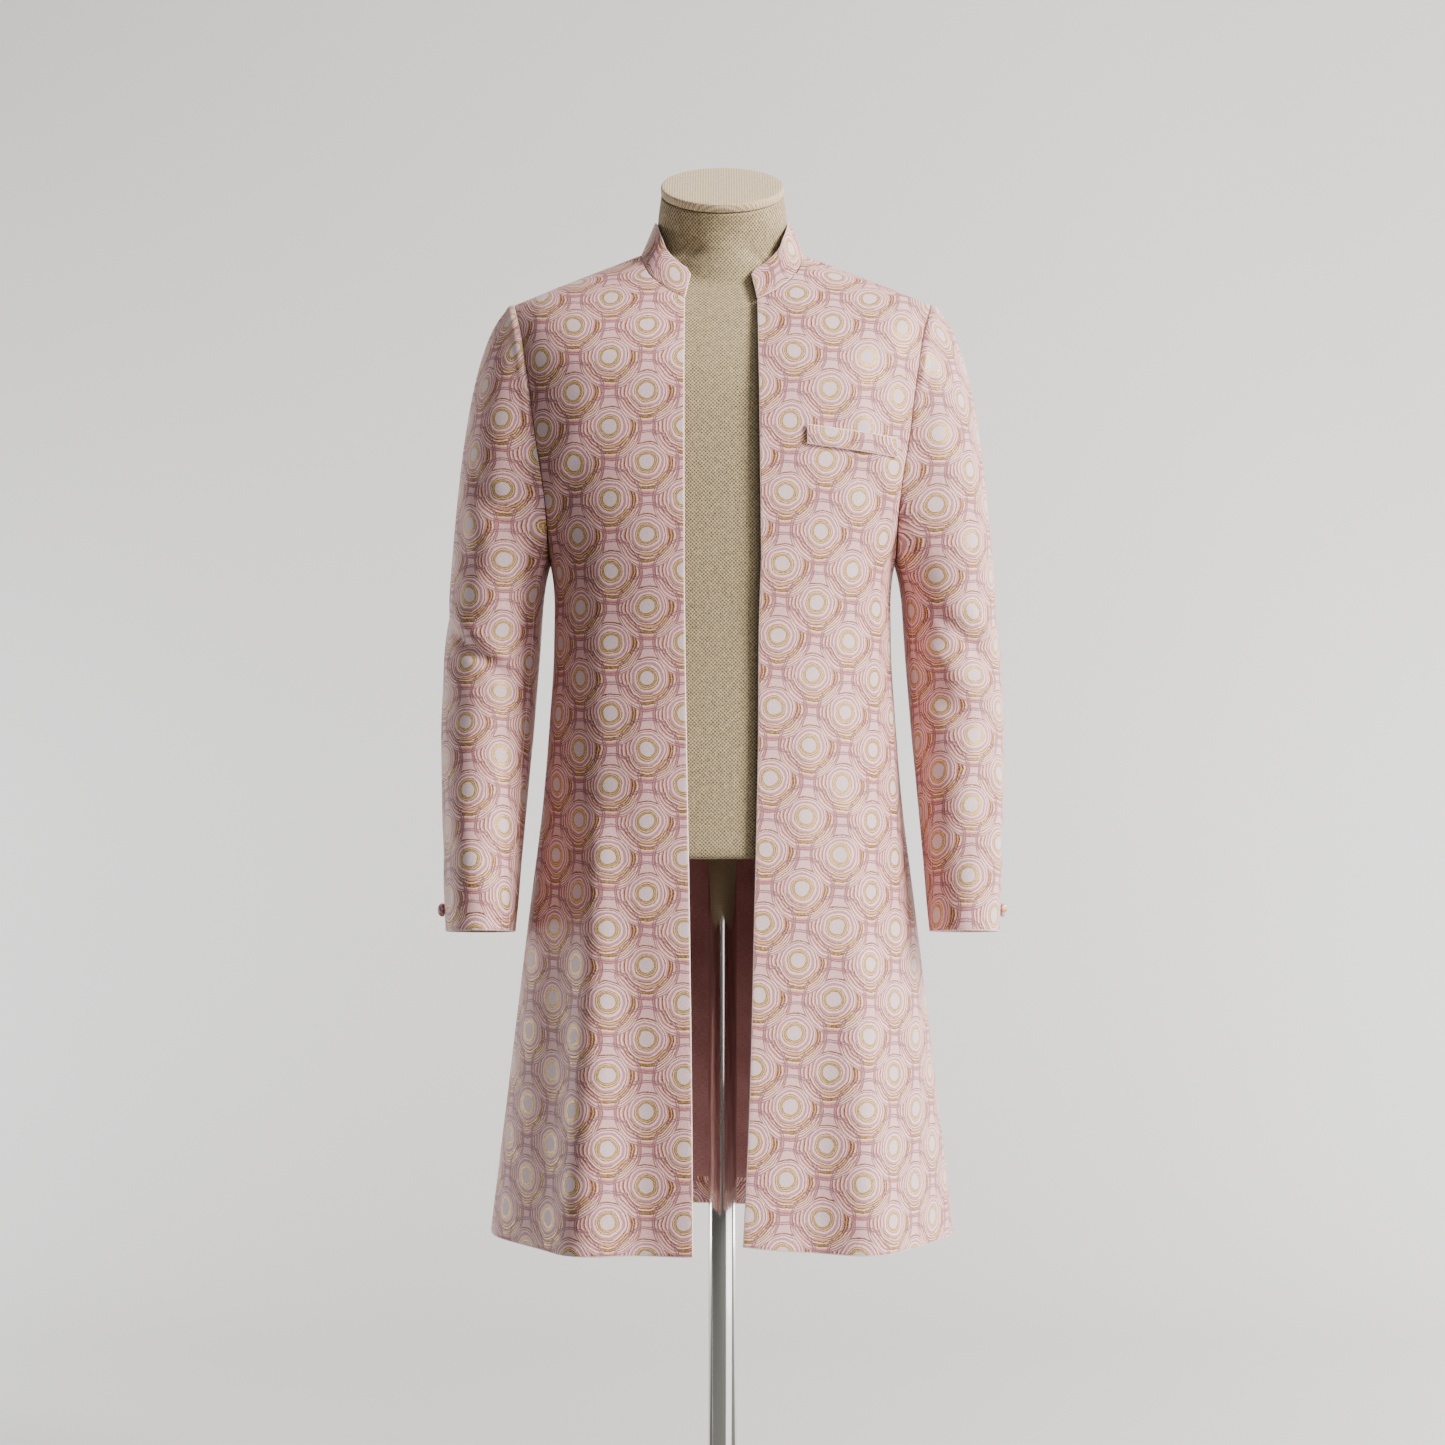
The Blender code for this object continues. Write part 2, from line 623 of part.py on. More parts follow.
for side, word in ((-1, "left"), (1, "right")):
    top_angles = np.linspace(HIND_SLEEVE_SEAM, FRONT_SLEEVE_SEAM, TOP_SLEEVE_COLUMNS + 1)
    under_angles = np.linspace(FRONT_SLEEVE_SEAM, 360 + HIND_SLEEVE_SEAM, UNDER_SLEEVE_COLUMNS + 1)
    round_grid = sleeve_grid(side, np.concatenate([top_angles, under_angles[1:-1]]))
    wrapped = np.concatenate([round_grid[:, -1:], round_grid, round_grid[:, :2]], axis=1)
    round_normal = outward_normals(wrapped, np.array(SLEEVE_MIDDLE) * (side, 1, 1))[:, 1:-1]
    for name, piece in (
        ("top_sleeve_", np.s_[:, : TOP_SLEEVE_COLUMNS + 1]),
        ("under_sleeve_", np.s_[:, TOP_SLEEVE_COLUMNS:]),
    ):
        grid = np.concatenate([round_grid, round_grid[:, :1]], axis=1)[piece]
        fitted = trimmed(grid, first_row=1, first_column=HALF, last_column=HALF)
        wall(name + word, fitted, round_normal[piece], brocade)
    seat = sleeve_section(side, 0, BUTTON_Z) + (side * SEAM_GAP, 0, 0)
    turned(button_profile, BUTTON_AROUND, seat, (side, 0, 0), "cuff_button_" + word, button_cloth)

# Chest pocket welt, on the right front and made from its surface
WELT_COLUMNS = 10
welt_x = np.linspace(WELT_LEFT[0], WELT_RIGHT[0], WELT_COLUMNS + 1)
welt_z = np.linspace(WELT_LEFT[1], WELT_RIGHT[1], WELT_COLUMNS + 1)
welt_grid = np.array([on_chest(welt_x, welt_z + up * WELT_HEIGHT) for up in (0.5, 0, -0.5)])
welt_normal = outward_normals(welt_grid, BODY_MIDDLE)
welt_out = welt_grid + welt_normal * (SEAM_GAP * 2 + WELT_THICKNESS)
wall("breast_welt", welt_out, welt_normal, brocade, WELT_THICKNESS)


# Dress form: torso and neck in one, smooth and whole, under the coat
SLOPE_INSET = 1.12
SIDE_ROOM = 0.004
ARMHOLE_ROOM = 0.006
DEPTH_ROOM = 0.97
NECK_FROM_Z = 1.430
SHOULDER_END_Z = 1.474
SHOULDER_FADE = 0.018


def form_ring(z, around):
    """The torso's outline at one height."""
    inset = CLOTH + FORM_CLEARANCE
    shoulder_x = NECK_POINT[0] + (NECK_POINT[1] - inset * SLOPE_INSET - z) / SHOULDER_SLOPE
    body_x = section("half_width", z) - inset - SIDE_ROOM
    plate_x = armhole_x(z) - inset - ARMHOLE_ROOM if z > ARMPIT_Z else body_x
    torso_x = max(min(shoulder_x, body_x, plate_x), 0.0)
    neck_x = NECK_HALF_WIDTH if z > NECK_FROM_Z else 0.0
    neck_fade = 1 - np.clip((z - SHOULDER_END_Z) / SHOULDER_FADE, 0, 1) ** 2
    torso_x = neck_x + (torso_x - neck_x) * neck_fade if z > SHOULDER_END_Z else torso_x
    widest = max(torso_x, neck_x)
    square = section("squareness", z)
    turn = np.linspace(0, 2 * math.pi, around, endpoint=False)
    x = widest * np.sin(turn)
    ring = []
    for px, angle in zip(x, turn):
        back = math.cos(angle) < 0
        deep = section("back_depth" if back else "front_depth", z) * DEPTH_ROOM - inset
        torso_y = 0.0
        if torso_x > 0 and abs(px) < torso_x:
            across = deep * (1 - (abs(px) / torso_x) ** square) ** (1 / square)
            full = deep * (1 - (abs(px) / section("half_width", z)) ** square) ** (1 / square)
            fall = roll_over(ridge(px, back) - inset * SLOPE_INSET - z, px, back)
            torso_y = min(across, full * fall) * neck_fade
        inside_neck = max(1 - (abs(px) / neck_x) ** 2, 0) if neck_x else 0.0
        neck_y = NECK_BACK_DEPTH if back else NECK_FRONT_DEPTH
        depth = max(torso_y, neck_y * math.sqrt(inside_neck))
        ring.append((px, depth if back else -depth, z))
    return ring


def cap_ring(radius_x, radius_y, lift, around):
    """A ring square to the tilted neck, moved along its axis by the lift."""
    turn = np.linspace(0, 2 * math.pi, around, endpoint=False)
    x = radius_x * np.sin(turn)
    forward = radius_y * np.cos(turn)
    y = CAP_CENTRE[0] - forward * math.cos(CAP_TILT) - lift * math.sin(CAP_TILT)
    z = CAP_CENTRE[1] - forward * math.sin(CAP_TILT) + lift * math.cos(CAP_TILT)
    return np.stack([x, y, z], axis=1)


AROUND = 40
FORM_LEVELS = (
    FORM_BOTTOM_Z, 0.868, 0.93, 1.00, 1.081, 1.14, 1.165, 1.21, 1.26, 1.31, 1.35, 1.38, 1.405,
    1.425, 1.437, 1.447, 1.456, 1.465, 1.474, 1.483, 1.492, 1.500,
)
UNDER_EDGE_SHARE = (0.975, 0.965, 1)
NECK_LEAN_STEPS = (0.33, 0.67, 1)
rings = [np.array(form_ring(z, AROUND)) for z in FORM_LEVELS]
rings[0] = rings[0] * UNDER_EDGE_SHARE
neck_top = cap_ring(CAP_RADIUS, CAP_DEPTH_RADIUS, -CAP_THICKNESS, AROUND)
rings += [rings[-1] * (1 - t) + neck_top * t for t in NECK_LEAN_STEPS]
stacked("form_torso", rings, linen)

# Neck cap, a linen disc on the tilted neck, by shares of its radius and of its thickness
CAP_SHAPE = (
    (0.985, SEAM_GAP / CAP_THICKNESS),
    (1.000, 0.12),
    (1.000, 0.72),
    (0.985, 0.92),
    (0.950, 1.00),
)
cap_rings = [
    cap_ring(CAP_RADIUS * wide, CAP_DEPTH_RADIUS * wide, (high - 1) * CAP_THICKNESS, AROUND)
    for wide, high in CAP_SHAPE
]
stacked("form_neck_cap", cap_rings, cap_linen)

# Stand: a steel tube on a plain round plate
POLE_AROUND = 32
BASE_AROUND = 64
pole_profile = [(POLE_RADIUS, HUB_TOP_Z + SEAM_GAP), (POLE_RADIUS, FORM_BOTTOM_Z - SEAM_GAP)]
turned(pole_profile, POLE_AROUND, (0, 0, 0), (0, 0, 1), "stand_pole", steel)
base_profile = [
    (BASE_RADIUS - UNDER_BEVEL, 0.0),
    (BASE_RADIUS, UNDER_BEVEL),
    (BASE_RADIUS, RIM_Z),
    (BASE_RADIUS - TOP_BEVEL, RIM_Z + TOP_BEVEL),
    (HUB_RADIUS + HUB_FILLET, PLATE_AT_HUB_Z),
    (HUB_RADIUS, PLATE_AT_HUB_Z + HUB_FILLET),
    (HUB_RADIUS, HUB_TOP_Z - TOP_BEVEL),
    (HUB_RADIUS - TOP_BEVEL, HUB_TOP_Z),
]
turned(base_profile, BASE_AROUND, (0, 0, 0), (0, 0, 1), "stand_base", base_steel)
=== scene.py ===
import math

import bpy
import numpy as np
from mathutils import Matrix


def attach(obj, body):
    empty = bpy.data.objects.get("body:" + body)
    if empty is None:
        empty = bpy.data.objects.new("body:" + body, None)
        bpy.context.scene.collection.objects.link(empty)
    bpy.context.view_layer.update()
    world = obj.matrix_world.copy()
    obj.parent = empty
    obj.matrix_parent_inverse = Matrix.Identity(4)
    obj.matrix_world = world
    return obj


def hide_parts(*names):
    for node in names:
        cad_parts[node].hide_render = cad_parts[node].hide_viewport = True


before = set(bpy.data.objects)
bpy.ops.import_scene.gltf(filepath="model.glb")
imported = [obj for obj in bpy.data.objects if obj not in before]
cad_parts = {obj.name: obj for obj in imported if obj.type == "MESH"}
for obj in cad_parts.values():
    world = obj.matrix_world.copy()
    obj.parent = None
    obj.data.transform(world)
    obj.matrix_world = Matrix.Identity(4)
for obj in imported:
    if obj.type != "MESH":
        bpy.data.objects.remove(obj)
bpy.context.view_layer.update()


# Stand base: a round steel plate with its hub turned in one piece. It is ground to a satin face, so it
# shows soft reflections and faint rings round the hub.
BASE_RADIUS = 0.2100
HUB_RADIUS = 0.0300
HUB_TOP_Z = 0.0450
BASE_PROFILE = (
    (0.0005, 0.0000),
    (BASE_RADIUS - 0.0020, 0.0000),
    (BASE_RADIUS - 0.0006, 0.0006),
    (BASE_RADIUS, 0.0020),
    (BASE_RADIUS, 0.0080),
    (BASE_RADIUS - 0.0009, 0.0101),
    (BASE_RADIUS - 0.0030, 0.0110),
    (0.1200, 0.0125),
    (HUB_RADIUS + 0.0060, 0.0136),
    (HUB_RADIUS + 0.0018, 0.0150),
    (HUB_RADIUS, 0.0185),
    (HUB_RADIUS, HUB_TOP_Z - 0.0030),
    (HUB_RADIUS - 0.0009, HUB_TOP_Z - 0.0009),
    (HUB_RADIUS - 0.0030, HUB_TOP_Z),
    (0.0005, HUB_TOP_Z),
)


def linear(hex_colour):
    """An sRGB hex colour as linear red, green, blue and alpha."""
    parts = [int(hex_colour[k : k + 2], 16) / 255 for k in (1, 3, 5)]
    return (*[p / 12.92 if p <= 0.04045 else ((p + 0.055) / 1.055) ** 2.4 for p in parts], 1.0)


# Settings of a node that mixes two colours
RGBA = {"data_type": "RGBA", "out": 2}


def add(tree, kind, *inputs, out=0, named=None, **settings):
    """Add a node, its operation named after a space, with settings and inputs, and return one output."""
    kind, _, operation = kind.partition(" ")
    node = tree.nodes.new("ShaderNode" + kind)
    if operation:
        node.operation = operation
    for name, value in settings.items():
        setattr(node, name, value)
    for place, value in [*enumerate(inputs), *(named or {}).items()]:
        if isinstance(value, bpy.types.NodeSocket):
            tree.links.new(value, node.inputs[place])
        else:
            node.inputs[place].default_value = value
    return node.outputs[out]


def new_finish(name, **values):
    """A material with a Principled shader and the values that are the same all over it."""
    finish = bpy.data.materials.new(name)
    finish.use_nodes = True
    shader = finish.node_tree.nodes["Principled BSDF"]
    for key, value in values.items():
        shader.inputs[key.replace("_", " ")].default_value = value
    return finish, finish.node_tree, shader


def feed(tree, shader, **sockets):
    """Link each socket to the shader's input of the same name."""
    for key, socket in sockets.items():
        tree.links.new(socket, shader.inputs[key.replace("_", " ")])


def in_scene(name, data):
    """An object with this mesh, lamp or camera, put in the scene."""
    made = bpy.data.objects.new(name, data)
    bpy.context.scene.collection.objects.link(made)
    return made


def new_mesh(name, points, faces, finishes):
    """A mesh of points and lists of corners, with its finishes."""
    mesh = bpy.data.meshes.new(name)
    mesh.from_pydata(np.asarray(points, float).tolist(), [], faces)
    for finish in finishes:
        mesh.materials.append(finish)
    return mesh


def piece(name, points, faces, finishes, which=None, cloth=None):
    """A piece of the part, with each face's finish and each corner's place on the flat cloth."""
    mesh = new_mesh(name, points, faces, finishes)
    mesh.polygons.foreach_set("use_smooth", [True] * len(mesh.polygons))
    if which is not None:
        mesh.polygons.foreach_set("material_index", np.asarray(which, dtype=np.int32))
    if cloth is not None:
        layer = mesh.uv_layers.new(name="cloth")
        layer.data.foreach_set("uv", np.asarray(cloth, dtype=np.float32).ravel())
    mesh.update()
    made = in_scene(name, mesh)
    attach(made, "root")
    return made


def stacked(name, rings, finishes, flat=None):
    """A closed piece through rings of points. flat is where each ring lies on the flat cloth."""
    rings = np.asarray(rings)
    count, around = rings.shape[:2]
    points = np.concatenate([rings.reshape(-1, 3), [rings[0].mean(axis=0), rings[-1].mean(axis=0)]])
    here = np.arange(count - 1)[:, None] * around + np.arange(around)[None, :]
    after = np.arange(count - 1)[:, None] * around + (np.arange(around)[None, :] + 1) % around
    quads = np.stack([here, after, after + around, here + around], axis=-1).reshape(-1, 4)
    turn = np.arange(around)
    step = (turn + 1) % around
    first = np.stack([step, turn, np.full(around, count * around)], axis=-1)
    top = (count - 1) * around
    last = np.stack([turn + top, step + top, np.full(around, count * around + 1)], axis=-1)
    faces = quads.tolist() + first.tolist() + last.tolist()
    cloth = None
    if flat is not None:
        flat = np.asarray(flat)
        wall = np.stack([flat[:-1, :-1], flat[:-1, 1:], flat[1:, 1:], flat[1:, :-1]], axis=2).reshape(-1, 2)
        ends = points[[k for face in faces[len(quads):] for k in face]][:, :2]
        cloth = np.concatenate([wall, ends])
    return piece(name, points, faces, finishes, cloth=cloth)


def lathe(name, profile, around, finishes):
    """A turned piece: the profile's columns are radius and height."""
    turn = np.linspace(0, 2 * math.pi, around, endpoint=False)
    rings = [np.stack([r * np.cos(turn), r * np.sin(turn), z + 0 * turn], axis=-1) for r, z in profile]
    return stacked(name, rings, finishes)


# Satin ground steel: rings left by the grinding, about 1 mm apart, drawn at 2 mm so that they show
plate_steel, tree, shader = new_finish("satin ground steel", Metallic=1.0)
place = add(tree, "TexCoord", out=3)
ring = add(tree, "VectorMath LENGTH", add(tree, "VectorMath MULTIPLY", place, (1000.0, 1000.0, 0.0)), out=1)
grind = add(tree, "TexNoise", named={"W": ring, "Scale": 0.5, "Detail": 3.0}, noise_dimensions="1D")
smudge = add(tree, "TexNoise", place, named={"Scale": 9.0, "Detail": 4.0})
tone = add(tree, "MapRange", grind, 0.3, 0.7, 0.9, 1.0)
feed(
    tree, shader,
    Base_Color=add(tree, "Mix", named={0: tone, 6: linear("#7d7e7f"), 7: linear("#a4a5a6")}, **RGBA),
    Roughness=add(tree, "MapRange", smudge, 0.3, 0.7, 0.30, 0.42),
    Normal=add(tree, "Bump", named={"Height": grind, "Distance": 0.00004, "Strength": 0.5}),
)

base = lathe("base_plate", BASE_PROFILE, 128, [plate_steel])
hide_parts("stand_base")


# Pole: a drawn steel tube, polished along its length, that stands in the hub and holds the form. It
# mirrors the studio in upright bands.
POLE_RADIUS = 0.0150
FORM_BOTTOM_Z = 0.8620
TOUCH = 0.0003
polished, tree, shader = new_finish("polished drawn steel tube", Metallic=1.0)
drawn = add(tree, "VectorMath MULTIPLY", add(tree, "TexCoord", out=3), (900.0, 900.0, 6.0))
streak = add(tree, "TexNoise", drawn, named={"Scale": 1.0, "Detail": 2.0})
feed(
    tree, shader,
    Base_Color=add(tree, "Mix", named={0: streak, 6: linear("#d2d2ce"), 7: linear("#e6e6e3")}, **RGBA),
    Roughness=add(tree, "MapRange", streak, 0.3, 0.7, 0.06, 0.12),
    Normal=add(tree, "Bump", named={"Height": streak, "Distance": 0.00002, "Strength": 0.4}),
)

pole_ends = [(0.0005, 0.0), (POLE_RADIUS - 0.0008, 0.0), (POLE_RADIUS, 0.0008)]
pole_low = HUB_TOP_Z + TOUCH
pole_high = FORM_BOTTOM_Z - TOUCH
pole_profile = [(r, pole_low + z) for r, z in pole_ends] + [(r, pole_high - z) for r, z in pole_ends[::-1]]
pole = lathe("pole_tube", pole_profile, 64, [polished])
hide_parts("stand_pole")


# Dress form: a moulded torso and neck covered in natural linen, stretched smooth with its seam at the
# back. The plain weave reads as small light and dark cells.
CLOTH = 0.0018
FORM_CLEARANCE = 0.0009
ARMPIT_Z = 1.165
HEM_Z = 0.469
SHOULDER_POINT = (0.2180, 1.438)
NECK_POINT = (0.0856, 1.490)
SHOULDER_SLOPE = (NECK_POINT[1] - SHOULDER_POINT[1]) / (SHOULDER_POINT[0] - NECK_POINT[0])
BACK_NECK_DEPTH = 0.070
BACK_NECK_REACH = 0.100
FRONT_NECK_REACH = 0.170
NAPE_RISE = 0.014
SHOULDER_REACH = 0.085
SECTION_COLUMNS = ("height", "half_width", "front_depth", "back_depth", "squareness")
SECTIONS = (
    (1.450, 0.2360, 0.104, 0.100, 2.60),
    (1.380, 0.2260, 0.118, 0.110, 2.60),
    (1.290, 0.2180, 0.126, 0.114, 2.60),
    (1.230, 0.2060, 0.126, 0.112, 2.50),
    (1.165, 0.1805, 0.123, 0.107, 2.50),
    (1.081, 0.1765, 0.117, 0.099, 2.40),
    (1.000, 0.1812, 0.119, 0.103, 2.35),
    (0.922, 0.1875, 0.124, 0.110, 2.30),
    (0.800, 0.2025, 0.135, 0.123, 2.32),
    (0.600, 0.2265, 0.156, 0.145, 2.32),
    (0.469, 0.2425, 0.168, 0.158, 2.32),
)
ARMHOLE_COLUMNS = ("height", "half_width")
ARMHOLE = (
    (1.438, 0.2180),
    (1.396, 0.2066),
    (1.360, 0.2007),
    (1.330, 0.1965),
    (1.290, 0.1914),
    (1.250, 0.1850),
    (1.208, 0.1808),
    (1.165, 0.1805),
)
NECK_COLUMNS = ("height", "half_width")
NECK = (
    (1.430, 0.0680),
    (1.500, 0.0680),
    (1.522, 0.0676),
    (1.550, 0.0650),
)
NECK_FRONT_DEPTH = 0.0560
NECK_BACK_DEPTH = 0.0500
CAP_RADIUS = 0.0640
CAP_DEPTH_RADIUS = 0.0600
CAP_CENTRE = (-0.0200, 1.5590)
CAP_TILT = math.radians(29)
CAP_THICKNESS = 0.0090


def column(table, names, name):
    return np.array([row[names.index(name)] for row in table], float)


def smooth(table, names, name, at):
    """Value of a column at a height, on a smooth curve through the rows."""
    height = column(table, names, names[0])
    value = column(table, names, name)
    order = np.argsort(height)
    height = height[order]
    value = value[order]
    slope = np.gradient(value, height)
    at = np.clip(at, height[0], height[-1])
    low = np.clip(np.searchsorted(height, at) - 1, 0, len(height) - 2)
    step = height[low + 1] - height[low]
    t = (at - height[low]) / step
    start = (1 + 2 * t) * (1 - t) ** 2 * value[low] + t * (1 - t) ** 2 * step * slope[low]
    end = t * t * (3 - 2 * t) * value[low + 1] + t * t * (t - 1) * step * slope[low + 1]
    return start + end


def section(name, at):
    return smooth(SECTIONS, SECTION_COLUMNS, name, at)


def armhole_x(z):
    return smooth(ARMHOLE, ARMHOLE_COLUMNS, "half_width", z)


def ridge(x, back=False):
    """Height of the shoulder line at a distance from the centre."""
    share = np.clip(np.abs(x) / NECK_POINT[0], 0, 1)
    neck = NECK_POINT[0] * SHOULDER_SLOPE * (1 - share**2) / 2
    nape = (NAPE_RISE if back else 0) * (1 - share**2) ** 2
    return NECK_POINT[1] + neck + nape - np.clip(np.abs(x) - NECK_POINT[0], 0, None) * SHOULDER_SLOPE


# The chest reaches its full depth slowly near the centre and sooner towards the armhole
ROLL_FROM_X = 0.04
ROLL_WIDTH = 0.15
ROLL_POWER = 2.0
FRONT_ROLL_POWER = 1.6


def roll_over(drop, x, back):
    """How far the chest has reached its full depth at a drop below the shoulder line, 0 to 1."""
    across = np.clip((np.abs(x) - ROLL_FROM_X) / ROLL_WIDTH, 0, 1)
    reach = (BACK_NECK_REACH if back else FRONT_NECK_REACH) * (1 - across) + SHOULDER_REACH * across
    power = (ROLL_POWER if back else FRONT_ROLL_POWER) * (1 - across) + ROLL_POWER * across
    left = 1 - np.clip(drop / reach, 0, 1)
    return (1 - left**power) ** (1 / power)


FORM_AROUND = 120
FORM_TURN = np.linspace(math.pi, 3 * math.pi, FORM_AROUND, endpoint=False)
FORM_SLACK = 0.0022
# The form stands a little further in at its sides and armholes, and before and behind
FORM_SIDE_SLACK = 0.004
FORM_ARMHOLE_SLACK = 0.006
FORM_DEPTH_SHARE = 0.97
SLOPE_STRETCH = 1.12
NECK_BASE_Z = 1.474
NECK_BLEND = 0.018


def form_ring(z):
    """The torso's outline at one height, from the back round by the viewer's left."""
    inset = CLOTH + FORM_CLEARANCE + FORM_SLACK
    shoulder_x = NECK_POINT[0] + (NECK_POINT[1] - inset * SLOPE_STRETCH - z) / SHOULDER_SLOPE
    body_x = section("half_width", z) - inset - FORM_SIDE_SLACK
    plate_x = armhole_x(z) - inset - FORM_ARMHOLE_SLACK if z > ARMPIT_Z else body_x
    torso_x = max(min(shoulder_x, body_x, plate_x), 0.0)
    neck_x = float(smooth(NECK, NECK_COLUMNS, "half_width", z)) if z > NECK[0][0] else 0.0
    fade = 1 - np.clip((z - NECK_BASE_Z) / NECK_BLEND, 0, 1) ** 2
    torso_x = neck_x + (torso_x - neck_x) * fade if z > NECK_BASE_Z else torso_x
    square = section("squareness", z)
    ring = []
    for angle in FORM_TURN:
        back = math.cos(angle) < 0
        px = max(torso_x, neck_x) * math.sin(angle)
        deep = section("back_depth" if back else "front_depth", z) * FORM_DEPTH_SHARE - inset
        torso_y = 0.0
        if torso_x > 0 and abs(px) < torso_x:
            across = deep * (1 - (abs(px) / torso_x) ** square) ** (1 / square)
            full = deep * (1 - (abs(px) / section("half_width", z)) ** square) ** (1 / square)
            fall = roll_over(ridge(px, back) - inset * SLOPE_STRETCH - z, px, back)
            torso_y = min(across, full * fall) * fade
        inside_neck = max(1 - (abs(px) / neck_x) ** 2, 0) if neck_x else 0.0
        neck_y = NECK_BACK_DEPTH if back else NECK_FRONT_DEPTH
        depth = max(torso_y, neck_y * math.sqrt(inside_neck))
        ring.append((px, depth if back else -depth, z))
    return np.array(ring)


def cap_ring(share, lift):
    """A ring square to the tilted neck, a share of the cap's size, moved along its axis by the lift."""
    forward = CAP_DEPTH_RADIUS * share * np.cos(FORM_TURN)
    y = CAP_CENTRE[0] - forward * math.cos(CAP_TILT) - lift * math.sin(CAP_TILT)
    z = CAP_CENTRE[1] - forward * math.sin(CAP_TILT) + lift * math.cos(CAP_TILT)
    return np.stack([CAP_RADIUS * share * np.sin(FORM_TURN), y, z], axis=-1)


LINEN_CELL = 1.9


def linen_finish(name, light, dark, shade):
    """Plain woven linen. Its threads are about 0.7 mm apart, drawn at 1.9 mm so that the cells show."""
    finish, tree, shader = new_finish(name, Roughness=0.88, Specular_IOR_Level=0.25, Sheen_Weight=0.12)
    flat = add(tree, "UVMap", uv_map="cloth")
    thread = add(tree, "VectorMath MULTIPLY", flat, (1000 / LINEN_CELL, 1000 / LINEN_CELL, 0.0))
    slub = add(tree, "TexNoise", thread, named={"Scale": 0.35, "Detail": 3.0})
    shift = add(tree, "TexNoise", thread, named={"Scale": 0.9}, out=1)
    bent = add(tree, "VectorMath ADD", thread, add(tree, "VectorMath MULTIPLY", shift, (1.1, 1.1, 0.0)))
    waves = []
    for way in (0, 1):
        place = add(tree, "SeparateXYZ", bent, out=way)
        waves.append(add(tree, "Math SINE", add(tree, "Math MULTIPLY", place, math.pi)))
    height = add(tree, "MapRange", add(tree, "Math MULTIPLY", *waves), -1.0, 1.0, 0.0, 1.0)
    weave = add(tree, "Mix", named={0: height, 6: linear(dark), 7: linear(light)}, **RGBA)
    patch = add(tree, "MapRange", slub, 0.3, 0.7, shade, 1.0)
    tinted = add(tree, "Mix", named={0: 1.0, 6: weave, 7: patch}, blend_type="MULTIPLY", **RGBA)
    relief = add(tree, "Math ADD", height, add(tree, "Math MULTIPLY", slub, 0.5))
    bump = add(tree, "Bump", named={"Height": relief, "Distance": 0.00035, "Strength": 0.8})
    feed(tree, shader, Base_Color=tinted, Normal=bump)
    return finish


linen = linen_finish("natural linen, plain weave", "#dac59c", "#453622", 0.74)
# The cap's linen is the torso's cloth in paler colours with a fainter weave: painted light, as if lit from
# above
cap_linen_painted_light = linen_finish("natural linen cut on the bias, cap", "#ead6b4", "#9c8460", 0.88)


def tube_flat(rings):
    """Places on the flat cloth for rings of points: across from the front centre, and up the front."""
    front = FORM_AROUND // 2
    closed = np.concatenate([rings, rings[:, :1]], axis=1)
    step = np.linalg.norm(np.diff(closed, axis=1), axis=2)
    across = np.concatenate([np.zeros((len(rings), 1)), np.cumsum(step, axis=1)], axis=1)
    across = across - across[:, front][:, None]
    up = np.concatenate([[0], np.cumsum(np.linalg.norm(np.diff(closed[:, front], axis=0), axis=1))])
    return np.stack([across, up[:, None] + 0 * across], axis=-1)


# Rounded top edge of the neck, by a share of its size and a lift along its axis
NECK_TOP = -0.0017
NECK_EDGE = ((0.990, -0.0010), (0.970, -0.0005), (0.945, 0.0))
NECK_STEPS = 18
# Rounded bottom edge of the torso: how much smaller its two lowest rings are, across and deep
BOTTOM_EDGE = ((0.972, 0.962), (0.988, 0.984))
# The neck bends forward in one soft curve between the shoulders and its top edge
NECK_BEND_FROM_Z = 1.474
NECK_BEND_ROUNDS = 60
form_levels = np.concatenate([
    [FORM_BOTTOM_Z, FORM_BOTTOM_Z + 0.0012, FORM_BOTTOM_Z + 0.004],
    np.linspace(0.874, 1.36, 30),
    np.linspace(1.37, 1.500, 33),
])
form_rings = [form_ring(z) for z in form_levels]
for k, (wide, deep) in enumerate(BOTTOM_EDGE):
    form_rings[k] = form_rings[k] * (wide, deep, 1)
neck_base = form_rings[-1]
neck_top = cap_ring(1.0, NECK_TOP - CAP_THICKNESS)
for share in np.arange(1, NECK_STEPS + 1) / NECK_STEPS:
    between = neck_base * (1 - share) + neck_top * share
    middle_x = float(smooth(NECK, NECK_COLUMNS, "half_width", between[:, 2].mean()))
    widen = 1 + (middle_x / np.abs(between[:, 0]).max() - 1) * math.sin(math.pi * share)
    form_rings.append(between * (widen, 1, 1))
form_rings += [cap_ring(share, lift - CAP_THICKNESS) for share, lift in NECK_EDGE]
form_rings = np.array(form_rings)
first = int(np.searchsorted(form_levels, NECK_BEND_FROM_Z))
last = len(form_rings) - len(NECK_EDGE) - 1
for _ in range(NECK_BEND_ROUNDS):
    beside_rings = form_rings[first - 1 : last - 1] + form_rings[first + 1 : last + 1]
    form_rings[first:last, :, 1:] = ((beside_rings + 2 * form_rings[first:last]) / 4)[..., 1:]
form = stacked("form_linen_torso", form_rings, [linen], tube_flat(form_rings))
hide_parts("form_torso")
